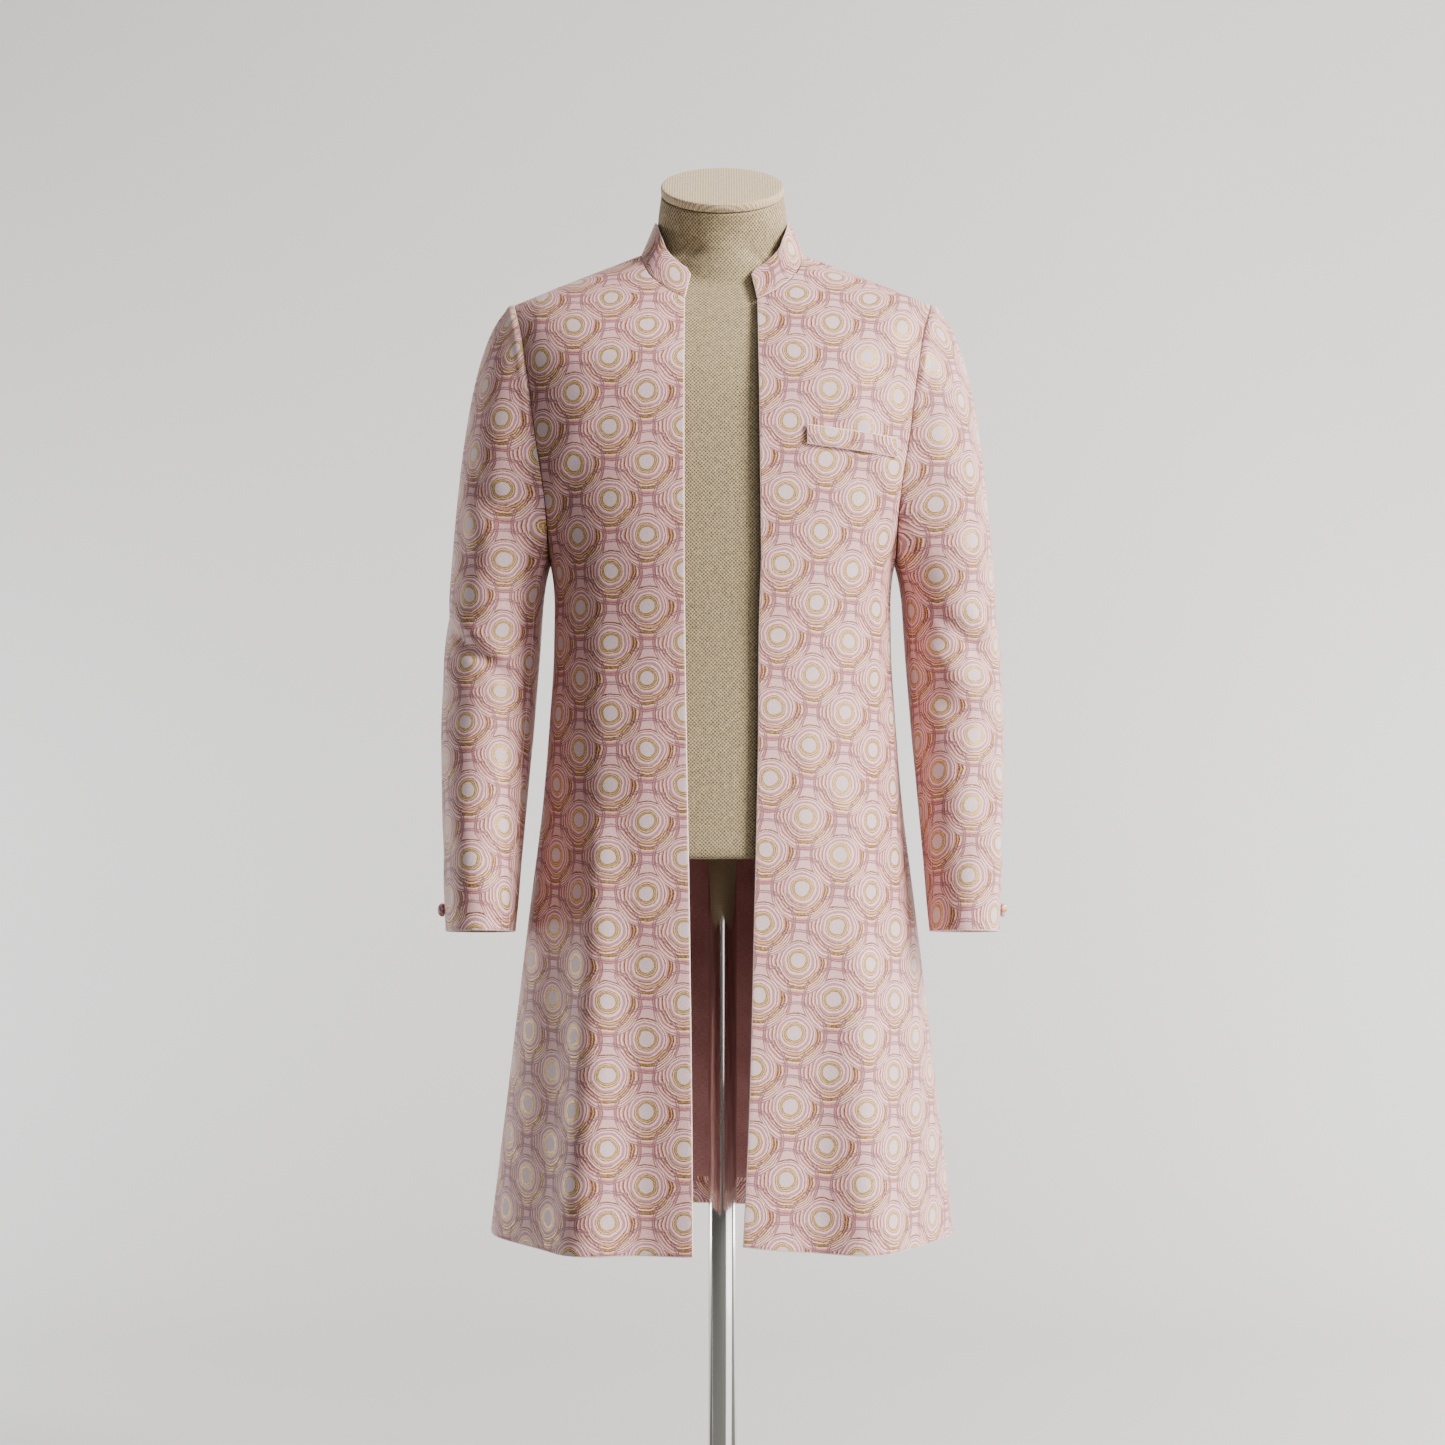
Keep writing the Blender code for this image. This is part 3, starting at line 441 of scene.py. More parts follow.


# Neck cap: a padded disc in its own round of linen, cut on the bias and set on the neck, with a narrow dark
# seam under its rim. Its linen is painted paler than the torso's, as light from above.
# Each ring's share of the cap's size, and its lift along the cap's axis
CAP_PROFILE = (
    (0.9300, 0.0006),
    (0.9650, 0.0006),
    (0.9880, 0.0009),
    (1.0025, 0.0020),
    (1.0040, 0.0072),
    (1.0015, 0.0088),
    (0.9930, 0.0096),
    (0.9800, 0.0099),
    (0.9400, 0.0101),
    (0.8000, 0.0103),
    (0.5500, 0.0105),
    (0.2500, 0.0107),
    (0.0200, 0.0107),
)
CAP_RIM = 6
BIAS = math.radians(45)
cap_rings = np.array([cap_ring(share, lift - CAP_THICKNESS) for share, lift in CAP_PROFILE])
cap_flat = np.concatenate([cap_rings, cap_rings[:, :1]], axis=1)
cap_walk = np.cumsum(np.concatenate([[0], np.linalg.norm(np.diff(cap_rings[:, 0], axis=0), axis=1)]))
# The cloth lies flat on the top and runs on down over the rim
cap_x = cap_flat[..., 0]
cap_y = -(cap_flat[..., 1] - CAP_CENTRE[0]) / math.cos(CAP_TILT)
cap_reach = np.maximum(np.hypot(cap_x, cap_y), 1e-6)
cap_out = np.where(np.arange(len(CAP_PROFILE)) < CAP_RIM, cap_walk[CAP_RIM] - cap_walk, 0)[:, None]
cap_x = cap_x * (1 + cap_out / cap_reach)
cap_y = cap_y * (1 + cap_out / cap_reach)
cap_place = np.stack([
    cap_x * math.cos(BIAS) - cap_y * math.sin(BIAS),
    cap_x * math.sin(BIAS) + cap_y * math.cos(BIAS),
], axis=-1)
cap = stacked("neck_cap_linen", cap_rings, [cap_linen_painted_light], cap_place)
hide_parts("form_neck_cap")


# Fronts: two panels of pale rose silk brocade, cut straight along their open edges and turned in there.
# They hang from the shoulder seam, close in at the waist and fall in soft folds to the hem.
NECKLINE_COLUMNS = ("x", "height")
NECKLINE = (
    (0.0340, 1.4335),
    (0.0385, 1.4350),
    (0.0514, 1.4418),
    (0.0635, 1.4504),
    (0.0757, 1.4619),
    (0.0831, 1.4770),
    (0.0856, 1.4900),
)
EDGE_COLUMNS = ("height", "left", "right")
FRONT_EDGES = (
    (1.435, 0.0385, 0.0355),
    (1.355, 0.0385, 0.0388),
    (1.205, 0.0384, 0.0398),
    (1.103, 0.0378, 0.0366),
    (0.980, 0.0360, 0.0356),
    (0.811, 0.0330, 0.0318),
    (0.575, 0.0300, 0.0252),
    (0.469, 0.0292, 0.0203),
)
# Each fold's angle from the front centre and half angle in degrees, its top, and its height at the hem
FOLDS = (
    (-33, 11, 0.96, 0.017),
    (-16, 8, 0.80, -0.005),
    (-62, 13, 0.86, -0.006),
    (35, 11, 0.92, 0.016),
    (18, 8, 0.78, -0.005),
    (66, 13, 0.90, -0.006),
    (-112, 13, 0.88, 0.007),
    (-142, 14, 0.95, -0.008),
    (-164, 12, 0.84, 0.009),
    (172, 11, 0.90, -0.007),
    (146, 13, 0.97, 0.010),
    (118, 12, 0.82, -0.006),
)
RIGHT_EDGE_LIFT = 0.0105
RIGHT_EDGE_LIFT_WIDTH = 0.45
FOLD_POWER = 1.4
NECK_SHARE = 4 / 12
NECKLINE_STEPS = 80
SHOULDER_STEPS = 120
PATH_STEPS = 300
UPPER_ROWS = 72
UPPER_CROWDING = 1.8
SKIRT_ROWS = 140
SEAM_SIDE_STEPS = (0.0016, 0.0032, 0.0052, 0.0080)
SEAM_SIDE_ROOM = 1.3
GIRTH_STEPS = 60
RISE_STEPS = 40
CREASE_CLEARANCE = 0.020
SEAM_DIP = 0.0004
SEAM_DIP_WIDTH = 0.0030
BODY_MIDDLE = (0, 0, 1.0)


def fold_height(angle, z):
    """How far the skirt stands out in its folds at an angle in degrees."""
    height = 0.0
    for centre, half, top, rise in FOLDS:
        away = (angle - centre + 180) % 360 - 180
        down = np.clip((top - z) / (top - HEM_Z), 0, 1)
        height = height + rise * down**FOLD_POWER * np.exp(-((away / half) ** 2))
    return height


def on_body(angle, z):
    """A point on the outside of the coat body, at an angle in degrees round from the front centre."""
    turn = np.radians(angle)
    power = 2 / section("squareness", z)
    back = np.abs(angle) > 90
    wide = section("half_width", z)
    deep = np.where(back, section("back_depth", z), section("front_depth", z))
    x = wide * np.sign(np.sin(turn)) * np.abs(np.sin(turn)) ** power
    y = -deep * np.sign(np.cos(turn)) * np.abs(np.cos(turn)) ** power
    out_x = np.sin(turn) / wide
    out_y = -np.cos(turn) / deep
    size = np.hypot(out_x, out_y)
    rise = fold_height(angle, z)
    return np.stack([x + rise * out_x / size, y + rise * out_y / size, z + 0 * x], axis=-1)


def on_chest(x, z, back=False):
    """A point on the outside of the coat above the armpit, at a distance from the centre."""
    wide = section("half_width", z)
    deep = section("back_depth" if back else "front_depth", z)
    power = section("squareness", z)
    depth = deep * np.clip(1 - (np.abs(x) / wide) ** power, 0, 1) ** (1 / power)
    y = depth * roll_over(ridge(x, back) - z, x, back)
    return np.stack([x + 0 * z, y if back else -y, z + 0 * x], axis=-1)


def at_fractions(path, fractions):
    """Points of a path at fractions of its length."""
    steps = np.linalg.norm(np.diff(path, axis=0), axis=1)
    along = np.concatenate([[0], np.cumsum(steps)])
    along = along / along[-1]
    return np.stack([np.interp(fractions, along, path[:, k]) for k in range(3)], axis=1)


def edge_x(side, z):
    return smooth(FRONT_EDGES, EDGE_COLUMNS, "right" if side > 0 else "left", z)


def neckline_front(side, count):
    """Front neckline from the open edge to the neck point."""
    edge = edge_x(side, NECKLINE[1][1])
    x = edge + (NECK_POINT[0] - edge) * np.sin(np.linspace(0, math.pi / 2, count))
    z = np.interp(x, column(NECKLINE, NECKLINE_COLUMNS, "x"), column(NECKLINE, NECKLINE_COLUMNS, "height"))
    return x, z


def neckline_back(count):
    """Back neckline from the centre to the neck point."""
    turn = np.linspace(0, math.pi / 2, count)
    x = NECK_POINT[0] * np.sin(turn)
    share = BACK_NECK_DEPTH * np.cos(turn) / section("back_depth", NECK_POINT[1])
    z = ridge(x, True) - BACK_NECK_REACH * (1 - np.sqrt(1 - share**2))
    return x, z


def upper_row(side, back, level, shares):
    """One row between the shoulder line (level 0) and the armpit (level 1), from the middle outwards."""
    neck_x, neck_z = neckline_back(NECKLINE_STEPS) if back else neckline_front(side, NECKLINE_STEPS)
    bottom_x = 0.0 if back else edge_x(side, ARMPIT_Z)
    top_x = np.concatenate([neck_x, np.linspace(NECK_POINT[0], SHOULDER_POINT[0], SHOULDER_STEPS)[1:]])
    top_z = np.concatenate([neck_z, ridge(top_x[NECKLINE_STEPS:])])
    outer_z = SHOULDER_POINT[1] + (ARMPIT_Z - SHOULDER_POINT[1]) * level
    spread = (top_x - top_x[0]) / (top_x[-1] - top_x[0])
    spread = spread * (1 - level) + np.sin(spread * math.pi / 2) * level
    inner_x = top_x[0] * (1 - level) + bottom_x * level
    x = inner_x + (armhole_x(outer_z) - inner_x) * spread
    z = top_z * (1 - level) + ARMPIT_Z * level
    path = on_chest(x, z, back)
    steps = np.linalg.norm(np.diff(path, axis=0), axis=1)
    at_neck = steps[: NECKLINE_STEPS - 1].sum() / steps.sum()
    held = np.interp(shares, [0, NECK_SHARE, 1], [0, at_neck, 1])
    return at_fractions(path, held * (1 - level) + shares * level)


def skirt_row(side, back, z, shares):
    """Outside of the body at one height, from the front edge or the back centre to the side seam."""
    start = 180.0
    if not back:
        power = section("squareness", z) / 2
        start = math.degrees(math.asin((edge_x(side, z) / section("half_width", z)) ** power))
    angle = np.linspace(start, 90, PATH_STEPS)
    return at_fractions(on_body(angle * side, z) * (side, 1, 1), shares)


def panel_rows(side, back, shares):
    """Rows of points of half the body, from its middle out to the armhole and side seam."""
    levels = (np.arange(UPPER_ROWS + 1) / UPPER_ROWS) ** UPPER_CROWDING
    rows = [upper_row(side, back, level, shares) for level in levels]
    edge_share = np.clip(1 - shares / RIGHT_EDGE_LIFT_WIDTH, 0, 1) ** 2
    for z in np.linspace(ARMPIT_Z, HEM_Z, SKIRT_ROWS + 1)[1:]:
        row = skirt_row(side, back, z, shares)
        if side > 0 and not back:
            down = (ARMPIT_Z - z) / (ARMPIT_Z - HEM_Z)
            row[:, 2] += RIGHT_EDGE_LIFT * down**2 * edge_share
        rows.append(row)
    grid = np.array(rows)
    grid[:, :, 0] *= side
    return grid


def spaced(count, width, first, last):
    """Even shares from 0 to 1, with closer ones beside an end that is a seam."""
    extra = [step / width for step in SEAM_SIDE_STEPS]
    room = extra[-1] * SEAM_SIDE_ROOM
    inner = np.linspace(0, 1, count + 1)[1:-1]
    inner = inner[(inner > room) | (not first)]
    inner = inner[(inner < 1 - room) | (not last)]
    shares = [0.0, 1.0, *inner, *(extra if first else []), *([1 - e for e in extra] if last else [])]
    return np.array(sorted(shares))


def unit(vectors):
    return vectors / np.maximum(np.linalg.norm(vectors, axis=-1, keepdims=True), 1e-12)


def outward(grid, middle):
    """Unit normals of a grid of points, away from a place inside the garment."""
    normal = unit(np.cross(np.gradient(grid, axis=1), np.gradient(grid, axis=0)))
    return normal * np.sign(((grid - np.array(middle)) * normal).sum())


def girth(x, z, back):
    """Length round the body at a height, from the centre line out to a distance."""
    wide = section("half_width", z)
    deep = section("back_depth" if back else "front_depth", z)
    power = 2 / section("squareness", z)
    end = np.arcsin(np.clip(x / wide, 0, 1) ** (1 / power))
    turn = np.linspace(0, 1, GIRTH_STEPS).reshape(-1, *[1] * np.ndim(x)) * end
    px = wide * np.sin(turn) ** power
    py = deep * np.cos(turn) ** power
    return np.hypot(np.diff(px, axis=0), np.diff(py, axis=0)).sum(axis=0)


def body_flat(grid, side, back):
    """Where a body panel's points lie on the flat cloth: to the right seen from outside, and up."""
    across = np.zeros(grid.shape[:2])
    up = grid[..., 2].copy()
    top = slice(0, UPPER_ROWS + 1)
    x = np.abs(grid[top, :, 0])
    z = grid[top, :, 2]
    across[top] = girth(x, z, back)
    steps = np.sin(np.linspace(0, math.pi / 2, RISE_STEPS)).reshape(-1, 1, 1)
    heights = ARMPIT_Z + (z - ARMPIT_Z) * steps
    full = np.abs(on_chest(x, ARMPIT_Z + 0 * z, back)[..., 1])
    depths = full * roll_over(ridge(x, back) - heights, x, back)
    up[top] = ARMPIT_Z + np.hypot(np.diff(depths, axis=0), np.diff(heights, axis=0)).sum(axis=0)
    skirt = grid[UPPER_ROWS + 1 :]
    step = np.linalg.norm(np.diff(skirt[..., :2], axis=1), axis=2)
    skirt_z = skirt[:, :1, 2]
    start = 0.0 * skirt_z if back else girth(edge_x(side, skirt_z), skirt_z, back)
    across[UPPER_ROWS + 1 :] = start + np.concatenate([0 * skirt_z, np.cumsum(step, axis=1)], axis=1)
    return np.stack([across * side * (-1 if back else 1), up], axis=-1)


def pressed(flat, creases):
    """How far soft creases, drawn on the flat cloth, press it out or in at each point.

    Each crease runs from across and up to across and up, with its half width and height, all in metres.
    """
    height = np.zeros(flat.shape[:2])
    for across_0, up_0, across_1, up_1, half_width, rise in creases:
        start = np.array((across_0, up_0))
        run = np.array((across_1, up_1)) - start
        away = flat - start
        along = np.clip((away @ run) / (run @ run), 0, 1)
        gap = np.linalg.norm(away - along[..., None] * run, axis=-1)
        # A crease is lower at its ends and widens along its length
        taper = 0.35 + 0.65 * np.sin(math.pi * (0.15 + 0.7 * along))
        height += rise * taper * np.exp(-((gap / (half_width * (0.75 + 0.5 * along))) ** 2))
    return height


def beside(flat, edge):
    """Distance on the cloth of each point from an edge of its panel."""
    lines = {
        "first_row": flat[:1, :],
        "last_row": flat[-1:, :],
        "first_column": flat[:, :1],
        "last_column": flat[:, -1:],
    }
    return np.linalg.norm(flat - lines[edge], axis=-1)
def seam_dip(seam_gap):
    """How far the cloth sinks beside a seam."""
    return SEAM_DIP * np.exp(-((seam_gap / SEAM_DIP_WIDTH) ** 2))


def cloth_height(flat, creases, seam_gap, clearance=CREASE_CLEARANCE):
    """Height of the cloth over its form: creases that die out near its seams, and the dip along them."""
    return pressed(flat, creases) * (1 - np.exp(-((seam_gap / clearance) ** 2))) - seam_dip(seam_gap)
RIM_STEPS = 4
SEAM_BULGE = 0.3


def shell(name, grid, normal, flat, offset, seams, finishes, lining_from=0.030, thickness=CLOTH):
    """A thin closed shell of cloth with rounded edges. seams names the edges that meet another piece."""
    grid = grid.copy()
    half = thickness / 2
    edges = {
        "first_row": (np.s_[0, :], np.s_[1, :]),
        "last_row": (np.s_[-1, :], np.s_[-2, :]),
        "first_column": (np.s_[:, 0], np.s_[:, 1]),
        "last_column": (np.s_[:, -1], np.s_[:, -2]),
    }
    outs = np.zeros_like(grid)
    for edge, (here, inner) in edges.items():
        outs[here] += unit(grid[here] - grid[inner]) * (SEAM_BULGE if edge in seams else 1)
    for edge, (here, inner) in edges.items():
        draw_in = half * SEAM_BULGE + TOUCH / 2 if edge in seams else half
        grid[here] -= unit(grid[here] - grid[inner]) * draw_in
    outs = outs - (outs * normal).sum(axis=-1, keepdims=True) * normal
    inner_grid = grid - normal * thickness
    rows, columns = grid.shape[:2]
    size = rows * columns
    spot = np.arange(size).reshape(rows, columns)
    rim = np.concatenate([spot[0, :], spot[1:, -1], spot[-1, -2::-1], spot[-2:0:-1, 0]])
    middle = (grid - normal * half).reshape(-1, 3)[rim]
    rim_normal = normal.reshape(-1, 3)[rim]
    rim_out = outs.reshape(-1, 3)[rim]
    loops = []
    for k in range(1, RIM_STEPS):
        turn = math.pi * k / RIM_STEPS
        loops.append(middle + half * (rim_normal * math.cos(turn) + rim_out * math.sin(turn)))
    points = np.concatenate([grid.reshape(-1, 3), inner_grid.reshape(-1, 3), *loops])
    quad = np.stack([spot[:-1, :-1], spot[:-1, 1:], spot[1:, 1:], spot[1:, :-1]], axis=-1).reshape(-1, 4)
    a, b, d = (points[quad[:, k]] for k in (0, 1, 3))
    faces_out = (np.cross(b - a, d - a) * normal.reshape(-1, 3)[quad[:, 0]]).sum() > 0
    outer = quad if faces_out else quad[:, ::-1]
    inside = outer[:, ::-1] + size
    bands = [rim, *[np.arange(len(rim)) + 2 * size + k * len(rim) for k in range(RIM_STEPS - 1)], rim + size]
    edge_faces = []
    for near, far in zip(bands, bands[1:]):
        face = np.stack([near, far, np.roll(far, -1), np.roll(near, -1)], axis=-1)
        edge_faces.append(face if faces_out else face[:, ::-1])
    faces = np.concatenate([outer, inside, *edge_faces])
    place = flat.reshape(-1, 2) + np.array(offset)
    corner_place = np.concatenate([place, place, *[place[rim]] * (RIM_STEPS - 1)])
    free = np.min([beside(flat, edge) for edge in edges if edge not in seams], axis=0)
    turned_in = free.reshape(-1)[outer].max(axis=1) < lining_from
    rim_faces = len(faces) - 2 * len(outer)
    # The rounded edge faces take the third finish, pale silk that paints a highlight along each edge
    which = np.concatenate([np.zeros(len(outer)), np.where(turned_in, 0, 1), np.full(rim_faces, 2)])
    return piece(name, points, faces.tolist(), finishes, which, corner_place[faces.reshape(-1)])


# The brocade: a satin ground of pale rose silk with round medallions in lilac, gold, rust and mauve
# weft. They stand 38 mm apart across and 72 mm apart up, each column half a step lower than the last.
# Sizes here are in mm
COLUMN_PITCH = 38.4
ROW_PITCH = 72.4
MEDALLION = 33.5
HEART = 20.6
# A thin double ring of mauve runs round each medallion and on over its neighbours
NET_MIDDLE = 31.9
NET_INNER = 0.35
NET_OUTER = 1.60
NET_SHARE = 0.85
NET_HEIGHT = 0.45
# Each thread's colour, and how high it stands. Rings are given by the radius in mm where they start. The
# real lines are about 0.7 mm wide, drawn at 1 mm so that they show
THREADS = {
    "disc": ("#dfc6cc", 0.50),
    "cell": ("#e7b4b7", 0.10),
    "ground": ("#d28c85", 0.15),
    "light": ("#ffcec5", 0.60),
    "lilac": ("#b98296", 0.20),
    "mauve": ("#804c65", 0.00),
    "rust": ("#70351f", 0.70),
    "straw": ("#e6b768", 0.90),
    "gold": ("#8f6c12", 1.00),
}
HEART_RINGS = (
    (0.0, "disc"), (7.6, "gold"), (8.7, "straw"), (9.3, "gold"), (10.4, "light"), (11.0, "gold"),
    (12.2, "light"), (14.1, "lilac"),
)
SIDE_RINGS = (
    (16.6, "light"), (18.2, "mauve"), (19.3, "ground"), (20.6, "light"), (21.6, "rust"), (22.6, "ground"),
    (23.6, "light"), (24.5, "mauve"), (25.6, "ground"), (26.7, "light"), (27.6, "rust"), (28.6, "ground"),
)
LOWER_LEFT_RINGS = (
    (16.2, "gold"), (17.6, "light"), (18.3, "mauve"), (19.3, "light"), (20.6, "rust"), (21.7, "ground"),
    (22.7, "light"), (23.6, "rust"), (24.7, "ground"), (25.7, "light"), (26.6, "mauve"), (27.7, "ground"),
    (28.7, "light"),
)
BOTTOM_RINGS = (
    (16.2, "gold"), (17.4, "light"), (18.3, "mauve"), (19.3, "straw"), (20.6, "ground"), (21.6, "rust"),
    (22.6, "light"), (23.8, "rust"), (24.6, "gold"), (26.4, "rust"), (27.2, "light"), (28.6, "ground"),
)
LOWER_RIGHT_RINGS = (
    (16.6, "light"), (18.2, "rust"), (19.2, "straw"), (20.4, "rust"), (21.4, "light"), (22.4, "rust"),
    (23.4, "straw"), (24.4, "rust"), (25.4, "light"), (26.3, "gold"), (27.4, "light"), (28.3, "rust"),
    (29.2, "light"),
)
RIGHT_RINGS = (
    (16.6, "light"), (18.2, "mauve"), (19.3, "light"), (20.4, "ground"), (21.9, "rust"), (23.3, "straw"),
    (23.9, "rust"), (25.2, "light"), (26.2, "ground"), (27.2, "rust"), (28.1, "light"), (29.2, "ground"),
)
TOP_RINGS = ((16.6, "light"), (18.2, "mauve"), (19.2, "light"), (20.2, "rust"), (21.6, "cell"))
SECTORS = (
    (-180.0, SIDE_RINGS),
    (-163.0, LOWER_LEFT_RINGS),
    (-110.0, BOTTOM_RINGS),
    (-72.0, LOWER_RIGHT_RINGS),
    (-28.0, RIGHT_RINGS),
    (42.0, TOP_RINGS),
    (138.0, SIDE_RINGS),
)
SECTOR_BLEND = 3.0
RAMP_REACH = 36.0
# The rings bulge at a medallion's sides: how far, how sharply, and the radius where they do so fully
BULGE = 2.2
BULGE_SHARPNESS = 12.0
BULGE_FULL = 28.0
# The middle of each medallion lies a little off its centre
MIDDLE_SHIFT = (-0.9, 1.6, 0.0)
# The cloth's sway and the threads' own unevenness: the noise's scale per mm, and its size
SWAY = (0.063, 4.0)
SHAKE = (0.55, 0.9)
# Weft threads lie across, about 0.4 mm apart, drawn at 0.9 mm so that the grain shows
WEFT = (0.55, 1.5, 0.0)
TWILL_ANGLE = math.radians(38)
TWILL = (0.3, 1.9, 0.0)
# The heights between which a thread turns from silk to metal
METAL_HEIGHTS = (0.6, 1.0)


def ring_ramp(tree, radius, rings):
    """The colour of each ring by its radius in mm, and how high its thread stands as the alpha."""
    ramp = add(tree, "ValToRGB", add(tree, "Math DIVIDE", radius, RAMP_REACH)).node
    ramp.color_ramp.interpolation = "CONSTANT"
    stops = ramp.color_ramp.elements
    while len(stops) < len(rings):
        stops.new(1.0)
    for stop, (start, thread) in zip(stops, rings):
        colour, height = THREADS[thread]
        stop.position = start / RAMP_REACH
        stop.color = (*linear(colour)[:3], height)
    return ramp.outputs[0], ramp.outputs[1]


def brocade_finish(name):
    """Figured silk: the medallions' colours, the metal threads' low shine and the relief of the threads."""
    finish, tree, shader = new_finish(
        name, Sheen_Weight=0.10, Sheen_Roughness=0.45, Sheen_Tint=linear("#f6dfe2"), Specular_IOR_Level=0.35
    )
    mm = add(tree, "VectorMath MULTIPLY", add(tree, "UVMap", uv_map="cloth"), (1000.0, 1000.0, 0.0))
    drawn = mm
    for scale, size in (SWAY, SHAKE):
        noise = add(tree, "TexNoise", mm, named={"Scale": scale, "Detail": 1.0}, out=1)
        noise = add(tree, "VectorMath SUBTRACT", noise, (0.5, 0.5, 0.5))
        drawn = add(tree, "VectorMath ADD", drawn, add(tree, "VectorMath MULTIPLY", noise, (size, size, 0.0)))
    across = add(tree, "SeparateXYZ", drawn)
    up = add(tree, "SeparateXYZ", drawn, out=1)

    # Two medallions can reach a point, one from the column on each side of it
    number = add(tree, "Math FLOOR", add(tree, "Math DIVIDE", across, COLUMN_PITCH))
    near = []
    for step in (0.0, 1.0):
        which = add(tree, "Math ADD", number, step)
        odd = add(tree, "Math WRAP", which, 2.0, 0.0)
        dx = add(tree, "Math SUBTRACT", across, add(tree, "Math MULTIPLY", which, COLUMN_PITCH))
        shifted = add(tree, "Math SUBTRACT", up, add(tree, "Math MULTIPLY", odd, ROW_PITCH / 2))
        dy = add(tree, "Math WRAP", shifted, ROW_PITCH / 2, -ROW_PITCH / 2)
        spot = add(tree, "CombineXYZ", dx, dy)
        radius = add(tree, "VectorMath LENGTH", spot, out=1)
        heart = add(tree, "Math LESS_THAN", radius, HEART)
        inside = add(tree, "Math LESS_THAN", radius, MEDALLION)
        off_net = add(tree, "Math ABSOLUTE", add(tree, "Math SUBTRACT", radius, NET_MIDDLE))
        near_net = add(tree, "Math LESS_THAN", off_net, NET_OUTER)
        net = add(tree, "Math MULTIPLY", near_net, add(tree, "Math GREATER_THAN", off_net, NET_INNER))
        near.append((spot, dy, heart, inside, net))

    # The higher medallion lies over the lower one, but a heart lies over everything
    (spot_a, dy_a, heart_a, inside_a, net_a), (spot_b, dy_b, heart_b, inside_b, net_b) = near
    b_higher = add(tree, "Math LESS_THAN", dy_b, dy_a)
    a_absent = add(tree, "Math SUBTRACT", 1.0, inside_a)
    b_wins = add(tree, "Math MULTIPLY", inside_b, add(tree, "Math MAXIMUM", b_higher, a_absent))
    no_heart_a = add(tree, "Math SUBTRACT", 1.0, heart_a)
    choose_b = add(tree, "Math MAXIMUM", heart_b, add(tree, "Math MULTIPLY", b_wins, no_heart_a))
    spot = add(tree, "Mix", named={0: choose_b, 4: spot_a, 5: spot_b}, data_type="VECTOR", out=1)
    in_any = add(tree, "Math MAXIMUM", inside_a, inside_b)
    inward = add(tree, "MapRange", add(tree, "VectorMath LENGTH", spot, out=1), 0.0, MEDALLION, 1.0, 0.0)
    lean = add(tree, "VectorMath SCALE", MIDDLE_SHIFT, named={"Scale": inward})
    spot = add(tree, "VectorMath SUBTRACT", spot, lean)
    radius = add(tree, "VectorMath LENGTH", spot, out=1)
    beside_x = add(tree, "SeparateXYZ", spot)
    angle = add(tree, "Math ARCTAN2", add(tree, "SeparateXYZ", spot, out=1), beside_x)
    degrees = add(tree, "Math MULTIPLY", angle, 180 / math.pi)
    level = add(tree, "Math ABSOLUTE", add(tree, "Math DIVIDE", beside_x, radius))
    swell = add(tree, "MapRange", radius, HEART, BULGE_FULL, 0.0, BULGE)
    swell = add(tree, "Math MULTIPLY", add(tree, "Math POWER", level, BULGE_SHARPNESS), swell)
    radius = add(tree, "Math SUBTRACT", radius, swell)

    # Colour and thread height, sector by sector
    colour, height = ring_ramp(tree, radius, (*HEART_RINGS, *SECTORS[0][1]))
    for start, rings in SECTORS[1:]:
        shade, thread = ring_ramp(tree, radius, (*HEART_RINGS, *rings))
        past = add(tree, "MapRange", degrees, start - SECTOR_BLEND, start + SECTOR_BLEND, 0.0, 1.0)
        colour = add(tree, "Mix", named={0: past, 6: colour, 7: shade}, **RGBA)
        height = add(tree, "Mix", named={0: past, 2: height, 3: thread}, data_type="FLOAT")
    colour = add(tree, "Mix", named={0: in_any, 6: linear(THREADS["cell"][0]), 7: colour}, **RGBA)
    height = add(tree, "Math MULTIPLY", height, in_any)
    no_heart = add(tree, "Math SUBTRACT", 1.0, add(tree, "Math MAXIMUM", heart_a, heart_b))
    net = add(tree, "Math MULTIPLY", add(tree, "Math MAXIMUM", net_a, net_b), no_heart)
    netted = add(tree, "Math MULTIPLY", net, NET_SHARE)
    colour = add(tree, "Mix", named={0: netted, 6: colour, 7: linear(THREADS["mauve"][0])}, **RGBA)
    height = add(tree, "Mix", named={0: net, 2: height, 3: NET_HEIGHT}, data_type="FLOAT")
